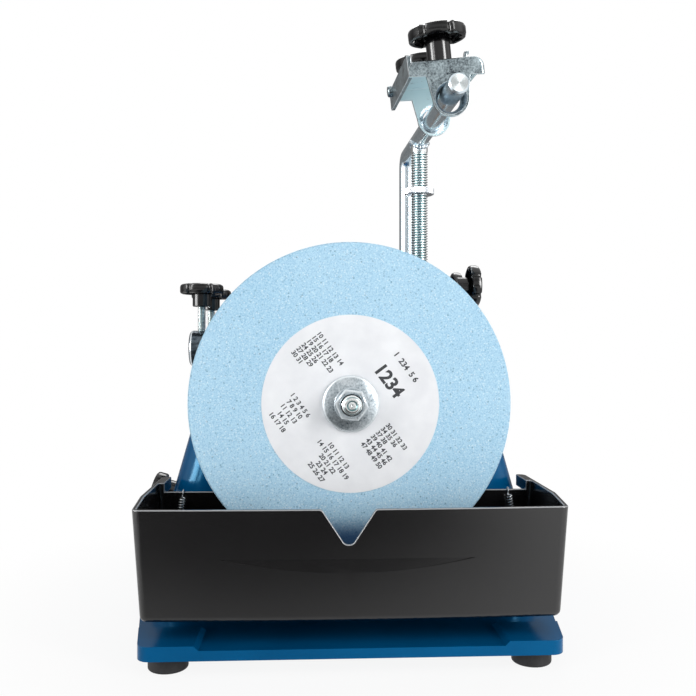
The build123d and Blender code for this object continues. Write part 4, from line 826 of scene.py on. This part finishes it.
def threaded_leg():
    """Front leg with a chamfered foot and a thread up to the weld."""
    low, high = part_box("threaded_leg")
    foot, top = low.z / MM, high.z / MM
    radius = rod_radius()
    start = foot + LEG_CHAMFER
    rows = scaled([(foot, 0), (foot, radius - LEG_CHAMFER), (start, radius)])
    rows += thread_rows(start, top - LEG_PLAIN * radius, radius, LEG_PITCH)
    rows += scaled([(top, radius), (top, 0)])
    mesh = threaded("leg_thread", rows, SIDES["leg"], leg_matrix(), radius, LEG_PITCH)
    piece("leg_thread", mesh, "support", "bright_steel", ["threaded_leg"], "thread_steel")


def tube(name, stations, sides, matrix):
    """Closed tube through stations (y, z, direction in degrees, radius) in millimetres.

    It lies in the plane of local Y and Z. Points carry their place round the tube in millimetres.
    """
    form = bmesh.new()
    layer = form.verts.layers.float.new("round")
    rings = []
    for y, z, direction, radius in stations:
        across = Vector((0, -sin(radians(direction)), cos(radians(direction))))
        ring = []
        for index in range(sides):
            angle = TURN * index / sides
            offset = Vector((radius * cos(angle), 0, 0)) + across * (radius * sin(angle))
            point = form.verts.new((Vector((0, y, z)) + offset) * MM)
            point[layer] = abs(angle - pi) * radius
            ring.append(point)
        rings.append(ring)
    for lower, upper in zip(rings, rings[1:]):
        bridge(form, lower, upper)
    form.faces.new(list(reversed(rings[0])))
    form.faces.new(rings[-1])
    bmesh.ops.recalc_face_normals(form, faces=form.faces)
    form.transform(matrix)
    return smooth(to_mesh(form, name))


def bent_rod():
    """Bar and plain leg in one rod, with a faced end at the front."""
    low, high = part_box("support_bar")
    radius = rod_radius()
    bar, foot = high.z / MM - radius, low.z / MM
    tip, corner = -BAR_REACH, LEG_SPACING - BEND_RADIUS
    end = radius - ROD_CHAMFER
    stations = [(tip + FACING, bar, 0, end), (tip + ROD_CHAMFER, bar, 0, radius), (corner, bar, 0, radius)]
    for index in range(1, BEND_STEPS + 1):
        turn = 90 * index / BEND_STEPS
        along = corner + BEND_RADIUS * sin(radians(turn))
        drop = BEND_RADIUS * (1 - cos(radians(turn)))
        stations.append((along, bar - drop, -turn, radius))
    stations += [(LEG_SPACING, foot + ROD_CHAMFER, -90, radius), (LEG_SPACING, foot, -90, end)]
    matrix = support_matrix()
    mesh = tube("bent_rod", stations, SIDES["rod"], matrix)
    piece("bent_rod", mesh, "support", "bright_steel", ["support_bar"], "drawn_steel")
    rows = [(0, end * ring / FACE_RINGS) for ring in range(FACE_RINGS + 1)]
    rows = scaled(rows + [(FACING, end), (FACING, 0)])
    front = matrix @ Matrix.Translation((0, tip * MM, bar * MM)) @ Matrix.Rotation(radians(-90), 4, "X")
    mesh = spun("rod_face", rows, SIDES["rod_face"], front)
    piece("rod_face", mesh, "support", "bright_steel", look="turned_steel")
    weld_bead(radius, bar, matrix)


def weld_bead(radius, bar, matrix):
    """Lumpy bead where the threaded leg meets the underside of the bar, thickest at its sides."""
    thin, swell, squash = 0.9, 1.1, 0.95
    middle, sink = radius + 0.1, 0.5
    form = bmesh.new()
    rings = []
    for index in range(BEAD_STEPS):
        angle = TURN * index / BEAD_STEPS
        side = abs(sin(angle))
        lumps = 0.16 * sin(13 * angle) + 0.09 * sin(29 * angle + 1)
        thick = thin + swell * side + lumps
        ring = []
        for step in range(BEAD_SIDES):
            turn = TURN * step / BEAD_SIDES
            reach = middle + thick * cos(turn)
            height = bar - radius * side - sink + thick * squash * sin(turn)
            ring.append(form.verts.new((reach * cos(angle) * MM, reach * sin(angle) * MM, height * MM)))
        rings.append(ring)
    for lower, upper in zip(rings, rings[1:] + rings[:1]):
        bridge(form, lower, upper)
    bmesh.ops.recalc_face_normals(form, faces=form.faces)
    form.transform(matrix)
    mesh = smooth(to_mesh(form, "weld_bead"), angle=60)
    piece("weld_bead", mesh, "support", "bright_steel", look="flange_zinc")


def adjusting_nut():
    """Thin round nut with a straight knurl and rounded edges."""
    low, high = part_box("adjusting_nut")
    centre = (low + high) / 2
    radius = (high.x - low.x) / 2
    bore, bevel = NUT_BORE * MM, NUT_ROUNDING * MM

    def knurl(angle):
        return radius - FLUTE_SWING * MM * (1 - cos(FLUTES * angle))
    rows = [(low.z, bore), (low.z, radius - 2 * bevel), (low.z + bevel, knurl), (high.z - bevel, knurl),
            (high.z, radius - 2 * bevel), (high.z, bore)]
    mesh = spun("nut_knurled", rows, FLUTES * FLUTE_STEPS, Matrix.Translation((centre.x, centre.y, 0)))
    piece("nut_knurled", mesh, "height_nut", "bright_steel", ["adjusting_nut"])


# Jig

def jig_matrix():
    """Frame of the jig: local Z along its screws, local Y from the front screw to the rear one."""
    front, rear = (Vector(JOINTS[name]["pos_m"]) for name in ("front_jig_turn", "rear_jig_turn"))
    z = Vector(JOINTS["front_jig_turn"]["axis"]).normalized()
    y = (rear - front).normalized()
    turned = Matrix((y.cross(z), y, z)).transposed().to_4x4()
    return Matrix.Translation(front) @ turned @ Matrix.Translation(JIG_FRONT_SCREW * -MM)


def jig():
    """Bracket and strip with rounded edges, and the drawn collars of the holes that ride on the bar."""
    matrix = jig_matrix()
    back = matrix.inverted()

    # Faces on the inner sides of the cheeks and under the top get painted bounce light.
    def inside(face):
        spot = back @ face.calc_center_median() / MM
        way = back.to_3x3() @ face.normal
        rear_cheek = way.y < -0.5 and spot.y > JIG_REAR_CHEEK - JIG_SLACK
        front_cheek = way.y > 0.5 and spot.y < JIG_REAR_CHEEK / 2
        return rear_cheek or front_cheek or way.z < -0.7
    bevelled("jig_bracket", "jig_pressing", "jig", JIG_ROUNDING, inside=inside)
    bevelled("jig_side_plate", "jig_strip", "jig", JIG_ROUNDING)
    for name, y, rows in (("front_collar", 0.0, FRONT_COLLAR), ("rear_collar", JIG_REAR_CHEEK, REAR_COLLAR)):
        hole = Matrix.Translation(Vector((JIG_HOLE_X, y, 0)) * MM) @ Matrix.Rotation(radians(-90), 4, "X")
        mesh = spun(name, scaled(rows), SIDES["collar"], matrix @ hole)
        piece(name, mesh, "jig", "zinc_plate", look="flange_zinc")


# Spindle

def spindle():
    """Turned spindle with a shoulder at each end, and a thread and a centre drilling at the front."""
    low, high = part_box("spindle_shaft")
    start, end = low.y / MM, high.y / MM
    front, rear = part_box("inner_flange")[1].y / MM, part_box("honing_washers")[0].y / MM
    shaft = (high.x - low.x) / 2 / MM
    thread_start, thread_end = STUB_THREAD
    rows = scaled([(start + depth, *row) for depth, *row in DRILLING])
    rows += thread_rows(start + thread_start, start + thread_end, STUB_RADIUS, SPINDLE_PITCH)
    edge = shaft - SHOULDER_CHAMFER
    rows += scaled([(front, STUB_RADIUS), (front, edge), (front + SHOULDER_CHAMFER, shaft),
                    (rear - SHOULDER_CHAMFER, shaft), (rear, edge), (rear, STUB_RADIUS),
                    (end - STUB_CHAMFER, STUB_RADIUS), (end, STUB_RADIUS - STUB_CHAMFER), (end, 0)])
    matrix = spindle_matrix(0, 1)
    mesh = threaded("spindle_turned", rows, SIDES["spindle"], matrix, STUB_RADIUS, SPINDLE_PITCH)
    piece("spindle_turned", mesh, "spindle", "bright_steel", ["spindle_shaft"], "thread_steel")


def hexagon(across, turn):
    """Outline of a hexagon across its flats, turned from having its corners to the left and right."""
    def reach(angle):
        return across / 2 / cos((angle - turn) % (TURN / 6) - TURN / 12)
    return reach


def stone_fastening():
    """Slightly domed washer and a hexagon nut with a collar, with painted highlights at their edges."""
    front, label = (corner.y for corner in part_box("outer_flange"))
    mesh = spun("stone_washer", scaled(WASHER), SIDES["fastening"], spindle_matrix(label, -1))
    piece("stone_washer", mesh, "spindle", SLOT_OF["outer_flange"], ["outer_flange"], "flange_zinc")
    rows = scaled(NUT_COLLAR)
    for height, inset, bright in NUT_HEXAGON:
        outline = hexagon((HEXAGON_ACROSS - 2 * inset) * MM, radians(HEXAGON_TURN))
        rows.append((height * MM, outline, 0, bright))
    rows += scaled(NUT_MOUTH)
    mesh = spun("stone_hexagon", rows, SIDES["fastening"], spindle_matrix(front, -1))
    piece("stone_hexagon", mesh, "spindle", SLOT_OF["stone_nut"], ["stone_nut"], "flange_zinc")


def leather_rim():
    """Glued leather strip with rounded edges and a skived joint."""
    low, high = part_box("leather_rim")
    outer = (high.x - low.x) / 2
    inner = outer - LEATHER_THICKNESS * MM
    soft = LEATHER_SOFTNESS * MM

    def worn(inset):
        def reach(angle):
            seam = max(0, 1 - abs(angle - SEAM_PLACE) / SEAM_HALF)
            return outer - inset - SEAM_DEPTH * MM * seam
        return reach
    edge = [(0, inner), (0, worn(soft)), (soft * 0.4, worn(soft * 0.3)), (soft, worn(0))]
    rows = [(low.y + depth, radius) for depth, radius in edge]
    rows += [(high.y - depth, radius) for depth, radius in reversed(edge)]
    mesh = spun("leather_strip", rows, SIDES["leather"], spindle_matrix(0, 1))
    piece("leather_strip", mesh, "spindle", "leather", ["leather_rim"])


# Label print

def text_mesh(words, height, side):
    """Thin mesh of one line of letters."""
    text = bpy.data.curves.new("line", "FONT")
    text.body = words
    text.size = height * LETTER_SIZE * MM
    text.extrude = INK_THICKNESS * MM
    text.offset = LETTER_WEIGHT * height * MM
    text.align_x = side
    text.align_y = "CENTER"
    text.resolution_u = 3
    carrier = bpy.data.objects.new("line", text)
    mesh = bpy.data.meshes.new_from_object(carrier)
    bpy.data.objects.remove(carrier)
    bpy.data.curves.remove(text)
    return mesh


def label_print():
    """Rows of numbers, turned as a printed disc would be after some use."""
    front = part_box("stone_label")[0].y - INK_GAP * MM
    turned = Matrix.Rotation(radians(90), 4, "X") @ Matrix.Rotation(radians(PRINT_TURN), 4, "Z")
    joined = bmesh.new()
    for x, z, height, step, side, lines in PRINT_BLOCKS:
        spot = Matrix.Translation((SPINDLE_X + x * MM, front, SPINDLE_Z + z * MM))
        for index, words in enumerate(lines):
            shift = Matrix.Translation((0, ((len(lines) - 1) / 2 - index) * step * MM, 0))
            line = text_mesh(words, height, side)
            line.transform(spot @ turned @ shift)
            joined.from_mesh(line)
            bpy.data.meshes.remove(line)
    piece("label_print", to_mesh(joined, "label_print"), "spindle", "label_paper", look="ink")


# Tray

def in_grip(point):
    """Whether a point lies in the grip recess of the tray's front."""
    low, high = GRIP_HEIGHTS
    return point.y < GRIP_FRONT * MM and low * MM < point.z < high * MM and abs(point.x) < GRIP_HALF * MM


def in_rear(point):
    """Whether a point lies low at the rear of the tray, where small faces leave no room to round an edge."""
    return point.y > TRAY_REAR[0] * MM and point.z < TRAY_REAR[1] * MM


def shallow_grip(form):
    """Brings the deep upper edge of the grip recess forward, and returns the edges that stay sharp."""
    band = (GRIP_HEIGHTS[1] - GRIP_BAND) * MM
    for point in form.verts:
        deep = any(face.normal.z > 0.1 for face in point.link_faces)
        if deep and in_grip(point.co) and point.co.z > band:
            point.co.y -= GRIP_RISE * MM * (1 - (point.co.x / MM / GRIP_HALF) ** 2)
    return [edge for edge in form.edges if all(in_grip(point.co) for point in edge.verts)
            or any(in_rear(point.co) for point in edge.verts)]


# Dress the frame

def dress_nodes():
    """Material of each node that stays."""
    plated = ("inner_flange", "honing_washers")
    for name, node in NODES.items():
        look = LOOKS["flange_zinc" if name in plated else SLOT_OF[name]]
        if not node.material_slots:
            node.data.materials.append(look)
        for holder in node.material_slots:
            holder.material = look


# Stage

def studio_world():
    """White room with even light, of which gloss sees bands in front, white sides and a dim rear."""
    world = bpy.data.worlds.new("studio")
    bpy.context.scene.world = world
    world.use_nodes = True
    world.cycles.sampling_method = "NONE"
    tree = world.node_tree
    tree.nodes.clear()
    toward = split(tree, add(tree, "ShaderNodeTexCoord").outputs["Generated"])
    rise = add(tree, "ShaderNodeMapRange", Value=toward["Z"], From_Min=-1.0).outputs[0]
    side = between(tree, toward["Y"], -0.86, -0.62)
    rear = between(tree, toward["Y"], 0.05, 0.5)
    room = mixed(tree, side, ramp(tree, rise, *FRONT_BANDS), (1, 1, 1, 1))
    room = mixed(tree, rear, room, ramp(tree, rise, *REAR_BANDS))
    path = add(tree, "ShaderNodeLightPath").outputs
    even = add(tree, "ShaderNodeBackground", Color=(0.96, 0.98, 1.0, 1), Strength=0.45)
    gloss = add(tree, "ShaderNodeBackground", Color=room, Strength=1.0)
    white = add(tree, "ShaderNodeBackground", Color=(1, 1, 1, 1), Strength=1.0)
    lit = add(tree, "ShaderNodeMixShader", i0=path["Is Glossy Ray"], i1=even.outputs[0], i2=gloss.outputs[0])
    seen = either(tree, path["Is Camera Ray"], path["Is Transmission Ray"])
    both = add(tree, "ShaderNodeMixShader", i0=seen, i1=lit.outputs[0], i2=white.outputs[0])
    add(tree, "ShaderNodeOutputWorld", Surface=both.outputs[0])


def floor_material():
    """White floor with a faint shadow near the feet; gloss sees it dim below the camera and at the rear."""
    material = bpy.data.materials.new("floor")
    material.use_nodes = True
    material.cycles.emission_sampling = "NONE"
    tree = material.node_tree
    tree.nodes.clear()
    at = add(tree, "ShaderNodeTexCoord").outputs["Object"]
    far = length(tree, at)
    away = between(tree, far, start=0.15, end=0.5, low=0.8)
    clear = between(tree, far, start=0.15, end=0.36, low=0.9)
    stand = add(tree, "ShaderNodeMapping", Vector=at, Location=(0.16, 0.8, 0), Scale=(2.0, 1.0, 1.0))
    near_camera = between(tree, length(tree, stand.outputs[0]), start=0.44, end=0.82, low=0.08)
    near_rear = between(tree, split(tree, at)["Y"], start=0.2, end=0.6, low=1.0, high=0.22)
    shine = times(tree, near_camera, near_rear)
    path = add(tree, "ShaderNodeLightPath").outputs
    direct = either(tree, path["Is Camera Ray"], path["Is Transmission Ray"])
    gloss = times(tree, path["Is Glossy Ray"], shine)
    share = either(tree, times(tree, direct, clear), times(tree, path["Is Glossy Ray"], away))
    matt = add(tree, "ShaderNodeBsdfDiffuse", Color=(0.85, 0.85, 0.85, 1))
    glow = add(tree, "ShaderNodeEmission", Color=(1, 1, 1, 1), Strength=either(tree, direct, gloss))
    both = add(tree, "ShaderNodeMixShader", i0=share, i1=matt.outputs[0], i2=glow.outputs[0])
    add(tree, "ShaderNodeOutputMaterial", Surface=both.outputs[0])
    return material


def add_floor():
    bpy.ops.mesh.primitive_circle_add(vertices=SIDES["floor"], radius=FLOOR_RADIUS, fill_type="NGON")
    floor = bpy.context.object
    floor.name = "floor"
    floor.data.materials.append(floor_material())


def add_lamp(name, where, aim, width, height, power, gloss_only):
    light = bpy.data.lights.new(name, "AREA")
    light.shape = "RECTANGLE"
    light.size, light.size_y = width, height
    light.energy = power
    holder = bpy.data.objects.new(name, light)
    holder.location = where
    holder.rotation_euler = (Vector(aim) - Vector(where)).to_track_quat("-Z", "Y").to_euler()
    holder.visible_diffuse = not gloss_only
    bpy.context.scene.collection.objects.link(holder)


def add_camera():
    lens = bpy.data.cameras.new("camera")
    lens.sensor_width = SENSOR
    lens.lens = FOCAL_PIXELS / IMAGE_WIDTH * SENSOR
    lens.clip_start = 0.01
    camera = bpy.data.objects.new("camera", lens)
    camera.location = CAMERA_PLACE
    camera.rotation_euler = (radians(90), 0, radians(-CAMERA_YAW))
    bpy.context.scene.collection.objects.link(camera)
    bpy.context.scene.camera = camera
    bpy.context.scene.view_settings.view_transform = "Standard"


def stage():
    """White floor and room, soft lamps and the camera."""
    studio_world()
    add_floor()
    for values in LAMPS:
        add_lamp(*values)
    add_camera()


dress_nodes()
knobs_and_screws()
star_knob("switch_star", "switch_knob", "switch", SWITCH_KNOB, joint_matrix("switch_turn"))
threaded_leg()
bent_rod()
adjusting_nut()
spindle()
leather_rim()
label_print()
bevelled("base_plate", "base_pan", "frame", BASE_ROUNDING)
jig()
stone_fastening()
for end in ("front", "rear"):
    bevelled(f"{end}_side_sleeve", f"{end}_sleeve_turned", "frame", SLEEVE_ROUNDING, clamp=False)
bevelled("water_tray", "tray_moulding", "tray", TRAY_ROUNDING, steps=3, adjust=shallow_grip, clamp=False)
stage()
